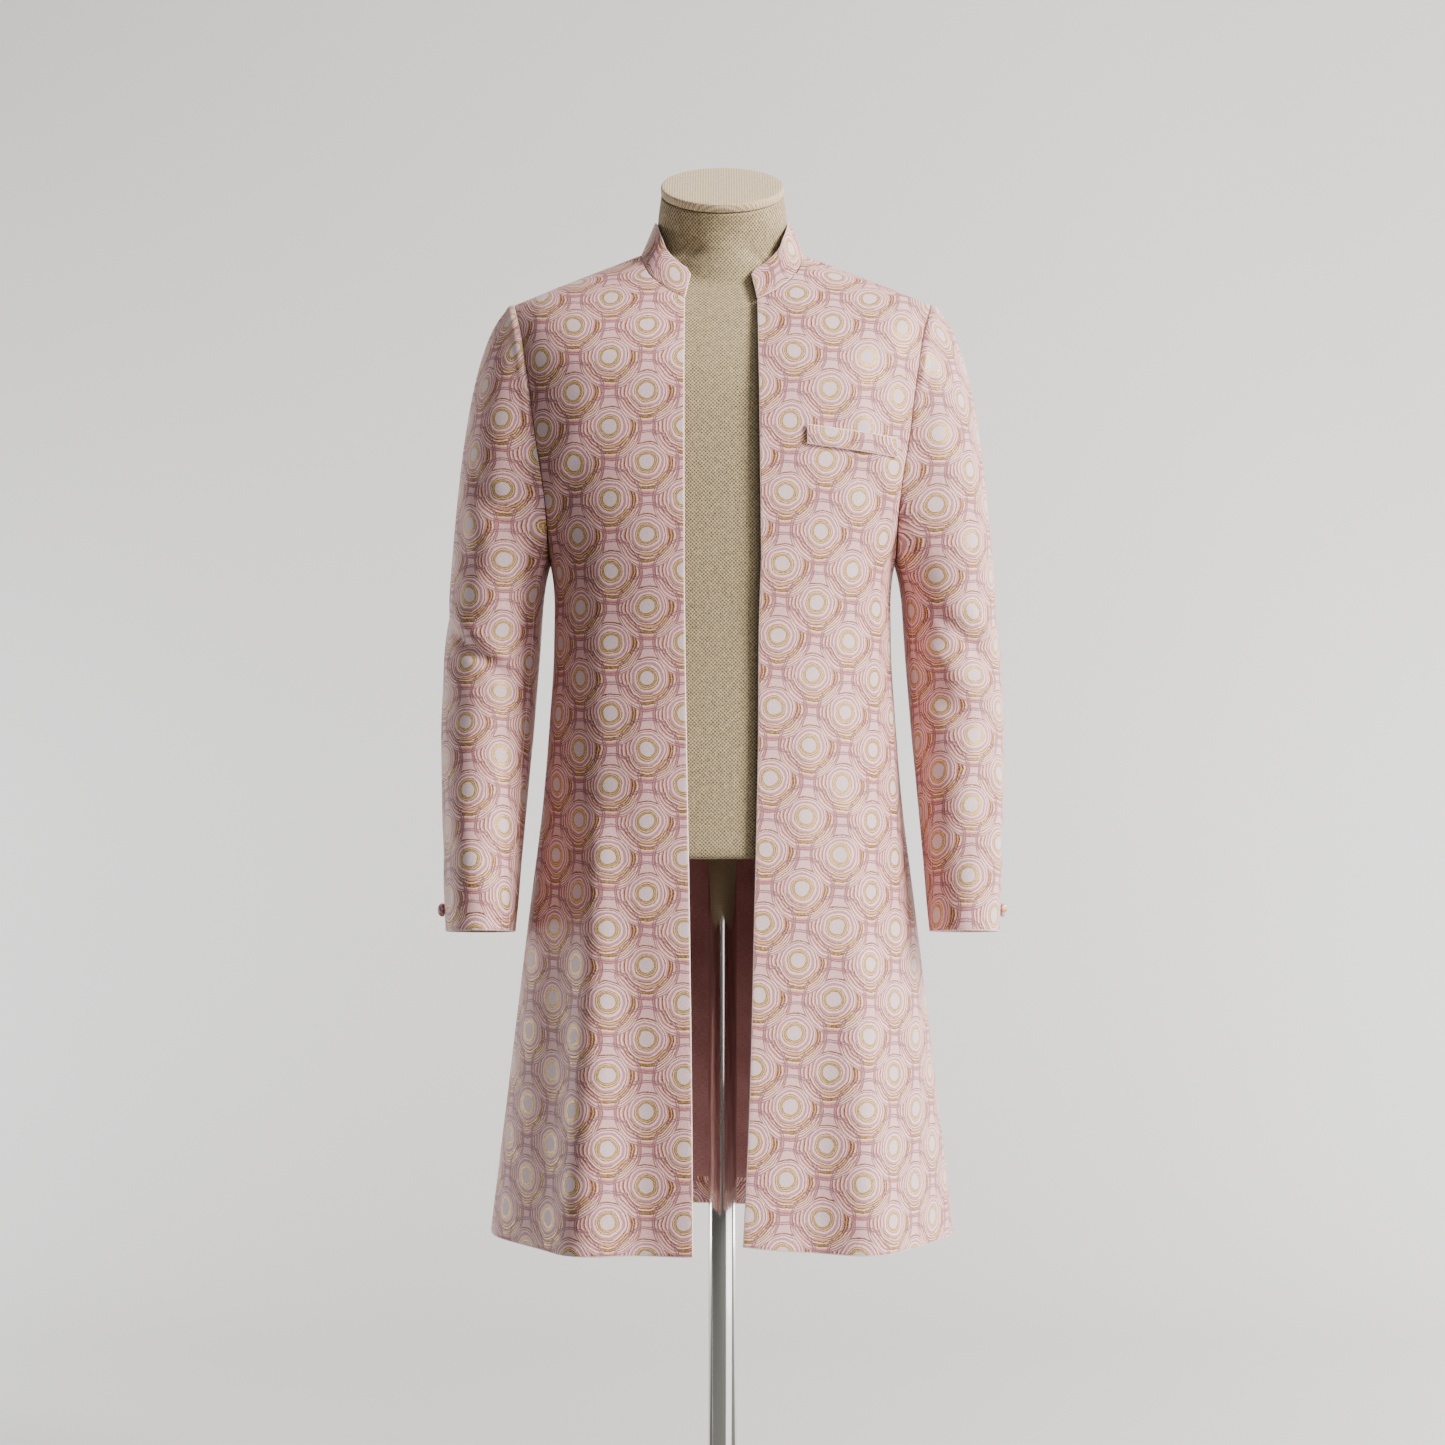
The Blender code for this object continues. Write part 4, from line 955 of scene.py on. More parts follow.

    # The threads' own grain, and pale slanting flecks painted on the raised threads as glints of light
    grain_place = add(tree, "VectorMath MULTIPLY", mm, WEFT)
    grain = add(tree, "TexNoise", grain_place, named={"Scale": 1.0, "Detail": 2.0, "Roughness": 0.6})
    twill_place = add(tree, "VectorRotate", mm, named={"Angle": TWILL_ANGLE}, rotation_type="Z_AXIS")
    twill_place = add(tree, "VectorMath MULTIPLY", twill_place, TWILL)
    twill = add(tree, "TexNoise", twill_place, named={"Scale": 1.0, "Detail": 1.0})
    fleck = add(tree, "MapRange", grain, 0.42, 0.60, 0.0, 1.0)
    raised = add(tree, "MapRange", height, *METAL_HEIGHTS, 0.4, 1.0)
    glint_mask = add(tree, "Math MULTIPLY", add(tree, "MapRange", twill, 0.47, 0.60, 0.0, 1.0), raised)
    glint_mask = add(tree, "Math MULTIPLY", glint_mask, 0.6)
    # Pale gold painted into the flecks: glints of light on the threads
    with_painted_glints = add(tree, "Mix", named={0: glint_mask, 6: colour, 7: linear("#e8c2a0")}, **RGBA)
    tone = add(tree, "MapRange", fleck, 0.0, 1.0, 0.80, 1.10)
    shaded = add(tree, "Mix", named={0: 1.0, 6: with_painted_glints, 7: tone}, blend_type="MULTIPLY", **RGBA)
    smooth_metal = add(tree, "MapRange", height, *METAL_HEIGHTS, 0.60, 0.42)
    uneven = add(tree, "MapRange", grain, 0.3, 0.7, -0.06, 0.06)
    relief = add(tree, "Math ADD", add(tree, "Math MULTIPLY", height, 0.9), grain)
    relief = add(tree, "Math ADD", relief, add(tree, "Math MULTIPLY", twill, 0.7))
    feed(
        tree, shader,
        Base_Color=shaded,
        Metallic=add(tree, "MapRange", height, *METAL_HEIGHTS, 0.0, 0.35),
        Roughness=add(tree, "Math ADD", smooth_metal, uneven),
        Normal=add(tree, "Bump", named={"Height": relief, "Distance": 0.00022, "Strength": 0.7}),
    )
    return finish


def plain_silk(name, light, dark, roughness):
    """Plain silk: a fine satin with faint cross threads and slow changes of tone."""
    finish, tree, shader = new_finish(name, Roughness=roughness, Sheen_Weight=0.25, Specular_IOR_Level=0.4)
    mm = add(tree, "VectorMath MULTIPLY", add(tree, "UVMap", uv_map="cloth"), (1000.0, 1000.0, 0.0))
    cross = add(tree, "VectorMath MULTIPLY", mm, (0.25, 1.3, 0.0))
    thread = add(tree, "TexNoise", cross, named={"Scale": 1.0, "Detail": 2.0})
    cloud = add(tree, "TexNoise", mm, named={"Scale": 0.012, "Detail": 3.0})
    mixed = add(tree, "Math MULTIPLY", add(tree, "Math ADD", thread, cloud), 0.5)
    share = add(tree, "MapRange", mixed, 0.38, 0.62, 0.0, 1.0)
    feed(
        tree, shader,
        Base_Color=add(tree, "Mix", named={0: share, 6: linear(dark), 7: linear(light)}, **RGBA),
        Normal=add(tree, "Bump", named={"Height": thread, "Distance": 0.00012, "Strength": 0.5}),
    )
    return finish


brocade = brocade_finish("pale rose ring brocade")
reverse = plain_silk("rose silk, inside face", "#b98683", "#94605f", 0.55)
# Pale silk for the rounded edges of every piece, seams too: it paints a highlight along each edge
edge_highlight_silk = plain_silk("pale rose silk, painted edge highlight", "#fbe6e2", "#e9c8c4", 0.60)
coat_cloth = [brocade, reverse, edge_highlight_silk]

FRONT_CREASES = {
    "left": (
        (-0.132, 1.180, -0.128, 0.800, 0.0220, 0.0036),
        (-0.127, 0.880, -0.139, 0.469, 0.0240, 0.0078),
        (-0.186, 0.900, -0.200, 0.469, 0.0420, -0.0050),
        (-0.094, 0.780, -0.092, 0.469, 0.0260, -0.0022),
        (-0.215, 0.800, -0.238, 0.500, 0.0260, 0.0016),
        (-0.200, 1.222, -0.136, 1.318, 0.0120, 0.0020),
        (-0.196, 1.188, -0.150, 1.250, 0.0100, -0.0018),
        (-0.205, 1.110, -0.150, 1.084, 0.0130, 0.0014),
        (-0.210, 1.060, -0.160, 1.036, 0.0120, -0.0012),
        (-0.086, 1.000, -0.080, 0.820, 0.0180, 0.0012),
    ),
    "right": (
        (0.136, 0.900, 0.146, 0.469, 0.0220, 0.0048),
        (0.100, 0.740, 0.098, 0.469, 0.0260, -0.0018),
        (0.212, 0.780, 0.234, 0.500, 0.0240, 0.0016),
        (0.196, 1.214, 0.128, 1.336, 0.0120, 0.0018),
        (0.192, 1.190, 0.150, 1.244, 0.0090, -0.0016),
        (0.200, 1.100, 0.146, 1.072, 0.0120, 0.0014),
        (0.205, 1.048, 0.160, 1.020, 0.0110, -0.0012),
        (0.088, 0.990, 0.078, 0.800, 0.0170, 0.0012),
    ),
}
# Where a medallion's centre falls on each front, across and up, and how the cloth leans about it
FRONT_PATTERN = {"left": (-0.0375, 1.1527, 0.0, 0.0), "right": (0.0570, 1.0867, -0.056, 0.070)}
FRONT_COLUMNS = 58
FRONT_WIDTH = 0.24
BACK_COLUMNS = 56
HALF_BACK_WIDTH = 0.25
front_shares = spaced(FRONT_COLUMNS, FRONT_WIDTH, False, True)
back_shares = spaced(BACK_COLUMNS, HALF_BACK_WIDTH, False, True)
front_grids = {}
front_normals = {}
half_backs = {}
for side, word in ((-1, "left"), (1, "right")):
    front_grids[word] = panel_rows(side, False, front_shares)
    front_normals[word] = outward(front_grids[word], BODY_MIDDLE)
    half_backs[word] = panel_rows(side, True, back_shares)
back_grid = np.concatenate([half_backs["left"][:, ::-1], half_backs["right"][:, 1:]], axis=1)
back_normal = outward(back_grid, BODY_MIDDLE)
front_neck = int(np.searchsorted(front_shares, NECK_SHARE))
back_neck = int(np.searchsorted(back_shares, NECK_SHARE))
half = len(back_shares) - 1
for side, word, edge in ((-1, "left", 0), (1, "right", -1)):
    shoulder_up = unit(np.array((side * SHOULDER_SLOPE, 0, 1.0)))
    normal = front_normals[word]
    normal[0, front_neck:] = shoulder_up
    shared = unit(normal[UPPER_ROWS:, -1] + back_normal[UPPER_ROWS:, edge])
    normal[UPPER_ROWS:, -1] = shared
    back_normal[UPPER_ROWS:, edge] = shared
    shoulder = np.s_[: half - back_neck + 1] if side < 0 else np.s_[half + back_neck :]
    back_normal[0, shoulder] = shoulder_up

for side, word in ((-1, "left"), (1, "right")):
    grid = front_grids[word]
    normal = front_normals[word]
    flat = body_flat(grid, side, False)
    seam_gap = np.minimum(beside(flat, "last_column"), beside(flat, "first_row"))
    height = cloth_height(flat, FRONT_CREASES[word], seam_gap)
    centre_across, centre_up, lean_across, lean_up = FRONT_PATTERN[word]
    place = flat - (centre_across, centre_up)
    place = place + place[..., ::-1] * (lean_across, lean_up)
    front = shell(
        "front_panel_" + word, grid + normal * height[..., None], normal, place, (0.0, 0.0),
        ("first_row", "last_column"), coat_cloth,
    )
    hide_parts("front_" + word)


# Back: one panel of the same brocade between the side seams, with its centre on the cloth's centre. It
# lies close between the shoulder blades and falls free from the waist in soft folds.
BACK_CREASES = (
    (-0.150, 1.240, -0.080, 1.320, 0.013, 0.0020),
    (0.158, 1.232, 0.090, 1.335, 0.012, 0.0022),
    (-0.020, 1.130, 0.010, 1.020, 0.016, -0.0018),
    (-0.090, 1.080, -0.030, 1.062, 0.012, 0.0015),
    (0.100, 1.068, 0.036, 1.046, 0.013, 0.0017),
    (-0.118, 0.950, -0.130, 0.640, 0.021, 0.0028),
    (0.064, 0.980, 0.072, 0.600, 0.022, -0.0026),
    (0.150, 0.900, 0.170, 0.560, 0.019, 0.0024),
    (-0.036, 0.900, -0.046, 0.520, 0.020, -0.0028),
    (-0.190, 0.820, -0.216, 0.500, 0.018, -0.0022),
    (0.214, 0.760, 0.232, 0.490, 0.016, 0.0020),
    (0.012, 0.700, 0.018, 0.480, 0.015, 0.0022),
)
back_flat = np.concatenate([
    body_flat(half_backs["left"], -1, True)[:, ::-1],
    body_flat(half_backs["right"], 1, True)[:, 1:],
], axis=1)
BACK_SEAMS = ("first_row", "first_column", "last_column")
BACK_PATTERN = (0.0, -1.1527)
seam_gap = np.min([beside(back_flat, edge) for edge in BACK_SEAMS], axis=0)
height = cloth_height(back_flat, BACK_CREASES, seam_gap)
back = shell(
    "back_panel", back_grid + back_normal * height[..., None], back_normal, back_flat, BACK_PATTERN,
    BACK_SEAMS, coat_cloth,
)
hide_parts("back")


# Band collar: a stiffened strip of the brocade, sewn round the neckline and leaning in to the neck. Its
# front corners are cut off at a slant and its edges are turned.
COLLAR_HEIGHT = 0.038
COLLAR_ALONG = 150
COLLAR_UP = 18
COLLAR_LEAN_AT = (0, 0.45, 0.75, 1)
COLLAR_LEAN = (10, 21, 28, 33)
CORNER_LENGTH = 0.006
CORNER_DROP = 0.005
COLLAR_BASE = 0.0005
COLLAR_SMOOTHING = 12
COLLAR_MIDDLE = (0, 0, 1.5)
COLLAR_PATTERN = (0.006, -0.020)
NECK_PATH_STEPS = 60


def neck_ring():
    """The whole neckline, from the right front edge round the back to the left front edge."""
    right_x, right_z = neckline_front(1, NECK_PATH_STEPS)
    left_x, left_z = neckline_front(-1, NECK_PATH_STEPS)
    back_x, back_z = neckline_back(NECK_PATH_STEPS)
    right = on_chest(right_x, right_z)
    back_right = on_chest(back_x, back_z, True)[::-1]
    back_left = on_chest(-back_x, back_z, True)
    left = on_chest(-left_x, left_z)[::-1]
    return np.concatenate([right, back_right[1:], back_left[1:], left[1:]])


base_line = at_fractions(neck_ring(), np.linspace(0, 1, COLLAR_ALONG + 1))
for _ in range(COLLAR_SMOOTHING):
    base_line[1:-1] = 0.25 * base_line[:-2] + 0.5 * base_line[1:-1] + 0.25 * base_line[2:]
run = np.gradient(base_line, axis=0)
toward_neck = unit(np.stack([-run[:, 1], run[:, 0], 0 * run[:, 0]], axis=1))
toward_neck *= np.sign((-base_line * toward_neck)[:, :2].sum(axis=1))[:, None]
round_share = np.abs(np.linspace(-1, 1, COLLAR_ALONG + 1))
lean = np.radians(np.interp(round_share, COLLAR_LEAN_AT, COLLAR_LEAN))
along = np.concatenate([[0], np.cumsum(np.linalg.norm(np.diff(base_line, axis=0), axis=1))])
from_end = np.minimum(along, along[-1] - along)
tall = COLLAR_HEIGHT - CORNER_DROP * np.clip(1 - from_end / CORNER_LENGTH, 0, 1)
rise = np.stack([0 * lean, 0 * lean, np.cos(lean)], axis=1) + toward_neck * np.sin(lean)[:, None]
levels = np.linspace(1, 0, COLLAR_UP + 1)
heights = [COLLAR_BASE + (tall[:, None] - COLLAR_BASE) * level for level in levels]
collar_grid = np.array([base_line + rise * height for height in heights])
collar_flat = np.stack([along[None] + 0 * levels[:, None], levels[:, None] * tall[None]], axis=-1)
collar = shell(
    "collar_band", collar_grid, outward(collar_grid, COLLAR_MIDDLE), collar_flat, COLLAR_PATTERN,
    ("last_row",), coat_cloth, lining_from=0.004,
)
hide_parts("collar")


# Sleeves: each a wide top sleeve and a narrow under sleeve, sewn to a tube and eased into the armhole.
# The head stands up a little behind the seam, and the elbow breaks in soft dents.
SLEEVE_COLUMNS = ("height", "outer_x", "inner_x", "centre_y", "half_depth")
SLEEVE_SECTIONS = (
    (1.120, 0.2880, 0.1885, 0.004, 0.0680),
    (1.081, 0.2912, 0.1911, 0.006, 0.0660),
    (1.033, 0.2938, 0.1948, 0.004, 0.0640),
    (0.992, 0.2950, 0.1978, -0.002, 0.0620),
    (0.953, 0.2937, 0.2010, -0.011, 0.0600),
    (0.905, 0.2920, 0.2048, -0.022, 0.0575),
    (0.857, 0.2904, 0.2085, -0.033, 0.0550),
    (0.812, 0.2878, 0.2115, -0.043, 0.0525),
    (0.784, 0.2858, 0.2140, -0.0485, 0.0505),
)
SLEEVE_CUFF_Z = 0.784
FRONT_SLEEVE_SEAM = 150
HIND_SLEEVE_SEAM = -115
UPPER_ARM_Z = SLEEVE_SECTIONS[0][0]
CAP_ROWS = 44
ARM_ROWS = 74
TOP_SLEEVE_AROUND = 66
UNDER_SLEEVE_AROUND = 24
ROPE_HEIGHT = 0.0020
ROPE_FROM_SEAM = 0.0055
ROPE_WIDTH = 0.0050
TILT_STEP = 0.02
# How the head leaves the armhole and reaches the arm, as shares of its length: outwards, down and forward
HEAD_AT = (-1, 0, 1)
HEAD_OUT = (0.30, 0.80, 0.46)
HEAD_DOWN = (0.95, 0.30, 0.22)
HEAD_ARRIVES = (0.08, 0.02, -0.95)


def armhole_loop(side, angle):
    """The armhole seam at an angle in degrees: 0 the shoulder point, 90 the front, 180 the armpit."""
    level = np.linspace(0, 1, PATH_STEPS)
    drop = 0.5 - 0.5 * np.cos(math.pi * level)
    z = SHOULDER_POINT[1] + (ARMPIT_Z - SHOULDER_POINT[1]) * drop
    path = on_chest(armhole_x(z), z, back=angle > 180 or angle < 0)
    share = abs((angle + 180) % 360 - 180) / 180
    return at_fractions(path, [share])[0] * (side, 1, 1)


def sleeve_section(side, angle, z):
    """A point of the sleeve below the armhole, at an angle and a height of the sleeve's middle."""
    values = [smooth(SLEEVE_SECTIONS, SLEEVE_COLUMNS, name, z) for name in SLEEVE_COLUMNS[1:]]
    outer_x, inner_x, centre_y, half_depth = values
    ahead = smooth(SLEEVE_SECTIONS, SLEEVE_COLUMNS, "centre_y", z + TILT_STEP)
    behind = smooth(SLEEVE_SECTIONS, SLEEVE_COLUMNS, "centre_y", z - TILT_STEP)
    tilt = np.arctan2(ahead - behind, 2 * TILT_STEP)
    turn = np.radians(angle)
    forward = half_depth * np.sin(turn)
    x = (outer_x + inner_x) / 2 + (outer_x - inner_x) / 2 * np.cos(turn)
    return np.stack([x * side, centre_y - forward * np.cos(tilt), z + forward * np.sin(tilt)], axis=-1)


def sleeve_head(side, angles, t):
    """A ring of the sleeve head, between the armhole at t = 0 and the upper arm at t = 1."""
    start = heads[side]
    end = sleeve_section(side, angles, UPPER_ARM_Z)
    length = np.linalg.norm(end - start, axis=1, keepdims=True)
    top = np.cos(np.radians(angles))
    out = np.interp(top, HEAD_AT, HEAD_OUT)
    down = np.interp(top, HEAD_AT, HEAD_DOWN)
    leave = np.stack([side * out, 0 * out, -down], axis=1) * length
    arrive = np.array(HEAD_ARRIVES) * (side, 1, 1) * length
    return (
        (1 + 2 * t) * (1 - t) ** 2 * start
        + t * t * (3 - 2 * t) * end
        + t * (1 - t) ** 2 * leave
        + t * t * (t - 1) * arrive
    )


def sleeve_flat(grid, normal, angles, side):
    """Where a sleeve's points lie on the flat cloth: to the right seen from outside, and up the arm."""
    step = np.linalg.norm(np.diff(grid, axis=1), axis=2)
    round_arm = np.concatenate([np.zeros((len(grid), 1)), np.cumsum(step, axis=1)], axis=1)
    outer_line = int(np.argmin(np.abs(angles)))
    across = -side * (round_arm - round_arm[:, outer_line][:, None])
    up = np.zeros_like(across)
    for k in range(CAP_ROWS + 1, len(grid)):
        up[k] = up[k - 1] - np.linalg.norm(grid[k] - grid[k - 1], axis=1).mean()
    for k in range(CAP_ROWS - 1, -1, -1):
        facing = unit(normal[k] + normal[k + 1])
        level = unit(np.cross((0, 0, 1.0), facing))
        upward = np.cross(facing, level)
        move = grid[k] - grid[k + 1]
        across[k] = across[k + 1] + (move * level).sum(axis=1)
        up[k] = up[k + 1] + (move * upward).sum(axis=1)
    return np.stack([across, up], axis=-1)


# Creases on the left sleeve's flat cloth. The right sleeve has its own
SLEEVE_CREASES = {
    "left": (
        (0.038, -0.022, 0.112, -0.075, 0.0085, -0.0046),
        (0.048, -0.006, 0.084, -0.032, 0.0080, 0.0030),
        (0.092, -0.044, 0.130, -0.078, 0.0090, 0.0026),
        (0.030, -0.060, 0.070, -0.098, 0.0120, 0.0024),
        (0.068, 0.142, 0.100, 0.098, 0.0100, -0.0026),
        (0.052, 0.122, 0.084, 0.078, 0.0100, 0.0020),
        (0.040, 0.066, 0.092, 0.034, 0.0110, -0.0022),
        (0.110, -0.150, 0.070, -0.190, 0.0140, -0.0018),
        (0.060, -0.230, 0.075, -0.320, 0.0160, 0.0020),
        (0.024, -0.200, 0.028, -0.310, 0.0140, -0.0020),
        (-0.020, 0.010, 0.030, -0.026, 0.0120, -0.0020),
        (-0.060, -0.020, -0.010, -0.052, 0.0120, 0.0022),
        (-0.100, -0.036, -0.050, -0.046, 0.0120, -0.0032),
        (-0.030, -0.240, 0.005, -0.262, 0.0150, -0.0016),
        (-0.060, 0.160, -0.090, 0.080, 0.0140, -0.0024),
    ),
    "right": (
        (-0.112, -0.002, -0.046, -0.066, 0.0095, -0.0042),
        (-0.118, -0.038, -0.090, -0.078, 0.0100, 0.0032),
        (-0.128, -0.082, -0.084, -0.132, 0.0140, -0.0036),
        (-0.072, -0.004, -0.040, -0.034, 0.0080, 0.0026),
        (-0.060, 0.120, -0.094, 0.070, 0.0110, -0.0020),
        (-0.046, 0.090, -0.080, 0.044, 0.0100, 0.0018),
        (-0.060, -0.190, -0.084, -0.300, 0.0160, -0.0022),
        (-0.030, -0.180, -0.034, -0.290, 0.0150, 0.0018),
        (0.016, 0.006, -0.030, -0.022, 0.0120, -0.0018),
        (0.060, -0.024, 0.012, -0.048, 0.0120, 0.0022),
        (0.104, -0.040, 0.052, -0.052, 0.0130, -0.0030),
        (0.028, -0.232, -0.008, -0.254, 0.0140, -0.0016),
        (0.058, 0.166, 0.088, 0.084, 0.0140, -0.0022),
    ),
}
SLEEVE_PATTERN = {"left": (0.010, -0.012), "right": (-0.006, 0.004)}
TOP_SLEEVE_CUT = (0.300, 0.675)
TOP_SLEEVE_AREA = 0.154
UNDER_SLEEVE_CUT = (0.146, 0.475)
UNDER_SLEEVE_AREA = 0.0412
TOP_SLEEVE_WIDTH = 0.27
UNDER_SLEEVE_WIDTH = 0.10
HEAD_CROWDING = 1.6
ARM_MIDDLE = (0.24, 0, 1.05)
SLEEVE_CREASE_CLEARANCE = 0.030
top_shares = spaced(TOP_SLEEVE_AROUND, TOP_SLEEVE_WIDTH, True, True)
under_shares = spaced(UNDER_SLEEVE_AROUND, UNDER_SLEEVE_WIDTH, True, True)
top_angles = HIND_SLEEVE_SEAM + (FRONT_SLEEVE_SEAM - HIND_SLEEVE_SEAM) * top_shares
under_angles = FRONT_SLEEVE_SEAM + (360 + HIND_SLEEVE_SEAM - FRONT_SLEEVE_SEAM) * under_shares
sleeve_angles = np.concatenate([top_angles, under_angles[1:]])
cap_levels = (np.arange(CAP_ROWS + 1) / CAP_ROWS) ** HEAD_CROWDING
arm_levels = np.linspace(UPPER_ARM_Z, SLEEVE_CUFF_Z, ARM_ROWS + 1)[1:]
heads = {side: np.array([armhole_loop(side, angle) for angle in sleeve_angles]) for side in (-1, 1)}
for side, word in ((-1, "left"), (1, "right")):
    rows = [sleeve_head(side, sleeve_angles, t) for t in cap_levels]
    rows += [sleeve_section(side, sleeve_angles, z) for z in arm_levels]
    grid = np.array(rows)
    wrapped = np.concatenate([grid[:, -2:-1], grid, grid[:, 1:2]], axis=1)
    normal = outward(wrapped, np.array(ARM_MIDDLE) * (side, 1, 1))[:, 1:-1]
    flat = sleeve_flat(grid, normal, sleeve_angles, side)
    from_armhole = np.concatenate([
        np.zeros((1, len(sleeve_angles))),
        np.cumsum(np.linalg.norm(np.diff(grid, axis=0), axis=2), axis=0),
    ])
    # The head's padding fills only the upper half of the armhole's seam
    top_side = np.clip(np.cos(np.radians(sleeve_angles)) * 1.5 + 0.2, 0, 1)
    height = cloth_height(flat, SLEEVE_CREASES[word], from_armhole, SLEEVE_CREASE_CLEARANCE)
    height += ROPE_HEIGHT * top_side * np.exp(-(((from_armhole - ROPE_FROM_SEAM) / ROPE_WIDTH) ** 2))
    last_top = len(top_angles) - 1
    for seam_line in (0, last_top, -1):
        height -= seam_dip(np.linalg.norm(flat - flat[:, seam_line][:, None], axis=-1))
    for name, part, cut, area in (
        ("top_sleeve", np.s_[:, : last_top + 1], TOP_SLEEVE_CUT, TOP_SLEEVE_AREA),
        ("under_sleeve", np.s_[:, last_top:], UNDER_SLEEVE_CUT, UNDER_SLEEVE_AREA),
    ):
        sleeve = shell(
            f"{name}_panel_{word}", (grid + normal * height[..., None])[part], normal[part], flat[part],
            SLEEVE_PATTERN[word], ("first_row", "first_column", "last_column"), coat_cloth,
        )
        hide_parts(f"{name}_{word}")


# Cuff buttons: one on each sleeve, a wooden mould covered in the brocade and gathered underneath. It
# sits on the sleeve's outer edge.
BUTTON_RADIUS = 0.0070
BUTTON_RISE = 0.0070
BUTTON_Z = 0.8060
BUTTON_AROUND = 48
# Each ring's share of the button's radius and of its rise
BUTTON_PROFILE = (
    (0.62, 0.00), (0.80, 0.02), (0.93, 0.08), (0.99, 0.17), (1.00, 0.27), (0.985, 0.40), (0.93, 0.56),
    (0.83, 0.71), (0.69, 0.84), (0.51, 0.93), (0.31, 0.98), (0.12, 1.00), (0.02, 1.00),
)
BUTTON_GATHERS = 14
BUTTON_GATHER_DEPTH = 0.018
BUTTON_TUCK = 0.4
BUTTON_TUCK_BELOW = 0.3
BUTTON_PATTERN = (0.004, 0.010)
for side, word in ((-1, "left"), (1, "right")):
    seat = sleeve_section(side, np.array(0.0), BUTTON_Z) + np.array((side * TOUCH, 0, 0))
    turn = np.linspace(0, 2 * math.pi, BUTTON_AROUND, endpoint=False)
    wrap = np.append(turn, 2 * math.pi)
    rings = []
    places = []
    for radius_share, rise_share in BUTTON_PROFILE:
        gather = 1 + BUTTON_GATHER_DEPTH * (1 - rise_share) ** 2 * np.cos(BUTTON_GATHERS * turn)
        radius = BUTTON_RADIUS * radius_share * gather
        x = seat[0] + side * (BUTTON_RISE * rise_share) + 0 * turn
        y = seat[1] + radius * np.sin(turn) * side
        rings.append(np.stack([x, y, seat[2] + radius * np.cos(turn)], axis=-1))
        tucked = BUTTON_TUCK * (1 - rise_share) if rise_share < BUTTON_TUCK_BELOW else 0
        walk = BUTTON_RADIUS * (radius_share + tucked)
        places.append(np.stack([walk * np.sin(wrap), walk * np.cos(wrap)], axis=-1) + BUTTON_PATTERN)
    button = stacked("covered_button_" + word, rings, [brocade], places)
    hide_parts("cuff_button_" + word)


# Breast welt: a narrow folded strip of the brocade over the chest pocket's mouth, sewn down along its
# lower edge and both ends.
WELT_LEFT = (0.0844, 1.2907)
WELT_RIGHT = (0.1764, 1.2800)
WELT_HEIGHT = 0.0200
WELT_THICKNESS = 0.0016
WELT_ALONG = 46
WELT_UP = 12
WELT_CUT = (0.096, 0.022)
WELT_STANDS_OFF = 0.0012
WELT_PUFF = 0.0004
WELT_PATTERN = (0.012, 0.030)
welt_x = np.linspace(WELT_LEFT[0], WELT_RIGHT[0], WELT_ALONG + 1)
welt_z = np.linspace(WELT_LEFT[1], WELT_RIGHT[1], WELT_ALONG + 1)
welt_levels = np.linspace(0.5, -0.5, WELT_UP + 1)
welt_grid = np.array([on_chest(welt_x, welt_z + level * WELT_HEIGHT) for level in welt_levels])
welt_normal = outward(welt_grid, BODY_MIDDLE)
welt_across = np.linspace(0, WELT_CUT[0], WELT_ALONG + 1)
welt_flat = np.stack(np.meshgrid(welt_across, welt_levels * WELT_HEIGHT), axis=-1)
welt_puff = WELT_PUFF * np.cos(math.pi * welt_levels)[:, None, None]
welt_out = welt_grid + welt_normal * (2 * TOUCH + WELT_THICKNESS + WELT_STANDS_OFF + welt_puff)
welt = shell(
    "breast_pocket_welt", welt_out, welt_normal, welt_flat, WELT_PATTERN, (), [brocade, brocade, edge_highlight_silk],
    thickness=WELT_THICKNESS,
)
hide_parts("breast_welt")


# The studio: a pale sweep of floor and wall behind, soft lights, and the camera straight in front at
# one metre up. A dark cloth with two pale fans lies on the floor in front, out of the camera's sight: it
# bounces little light, and the polished pole mirrors the fans as its bright upright bands.
SWEEP_HALF_WIDTH = 9.0
SWEEP_FRONT_Y = -6.0
SWEEP_BEND_Y = 1.6
SWEEP_BEND_RADIUS = 0.9
SWEEP_BEND_STEPS = 12
SWEEP_TOP_Z = 7.0
SWEEP_Z = -0.0005
CLOTH_REACH = 6.0
CLOTH_BACK_Y = 0.35
CLOTH_Z = -0.0003
PALE_FANS = ((30, 82), (-110, -92))
FAN_STEPS = 9


def mottled(name, roughness, shine, scale, dark, light):
    """Matt paper or cloth of the studio, with slow changes of tone."""
    finish, tree, shader = new_finish(name, Roughness=roughness, Specular_IOR_Level=shine)
    mottle = add(tree, "TexNoise", add(tree, "TexCoord", out=3), named={"Scale": scale, "Detail": 3.0})
    tone = add(tree, "Mix", named={0: mottle, 6: linear(dark), 7: linear(light)}, **RGBA)
    feed(tree, shader, Base_Color=tone)
    return finish


paper = mottled("matt grey paper sweep", 0.9, 0.2, 1.1, "#c9c9c9", "#cfcfcf")
floor_cloth = mottled("dark grey floor cloth", 0.9, 0.2, 2.3, "#5f5f5e", "#686867")
fan_paper = mottled("white floor paper", 0.8, 0.3, 2.3, "#f0f0ef", "#f6f6f5")

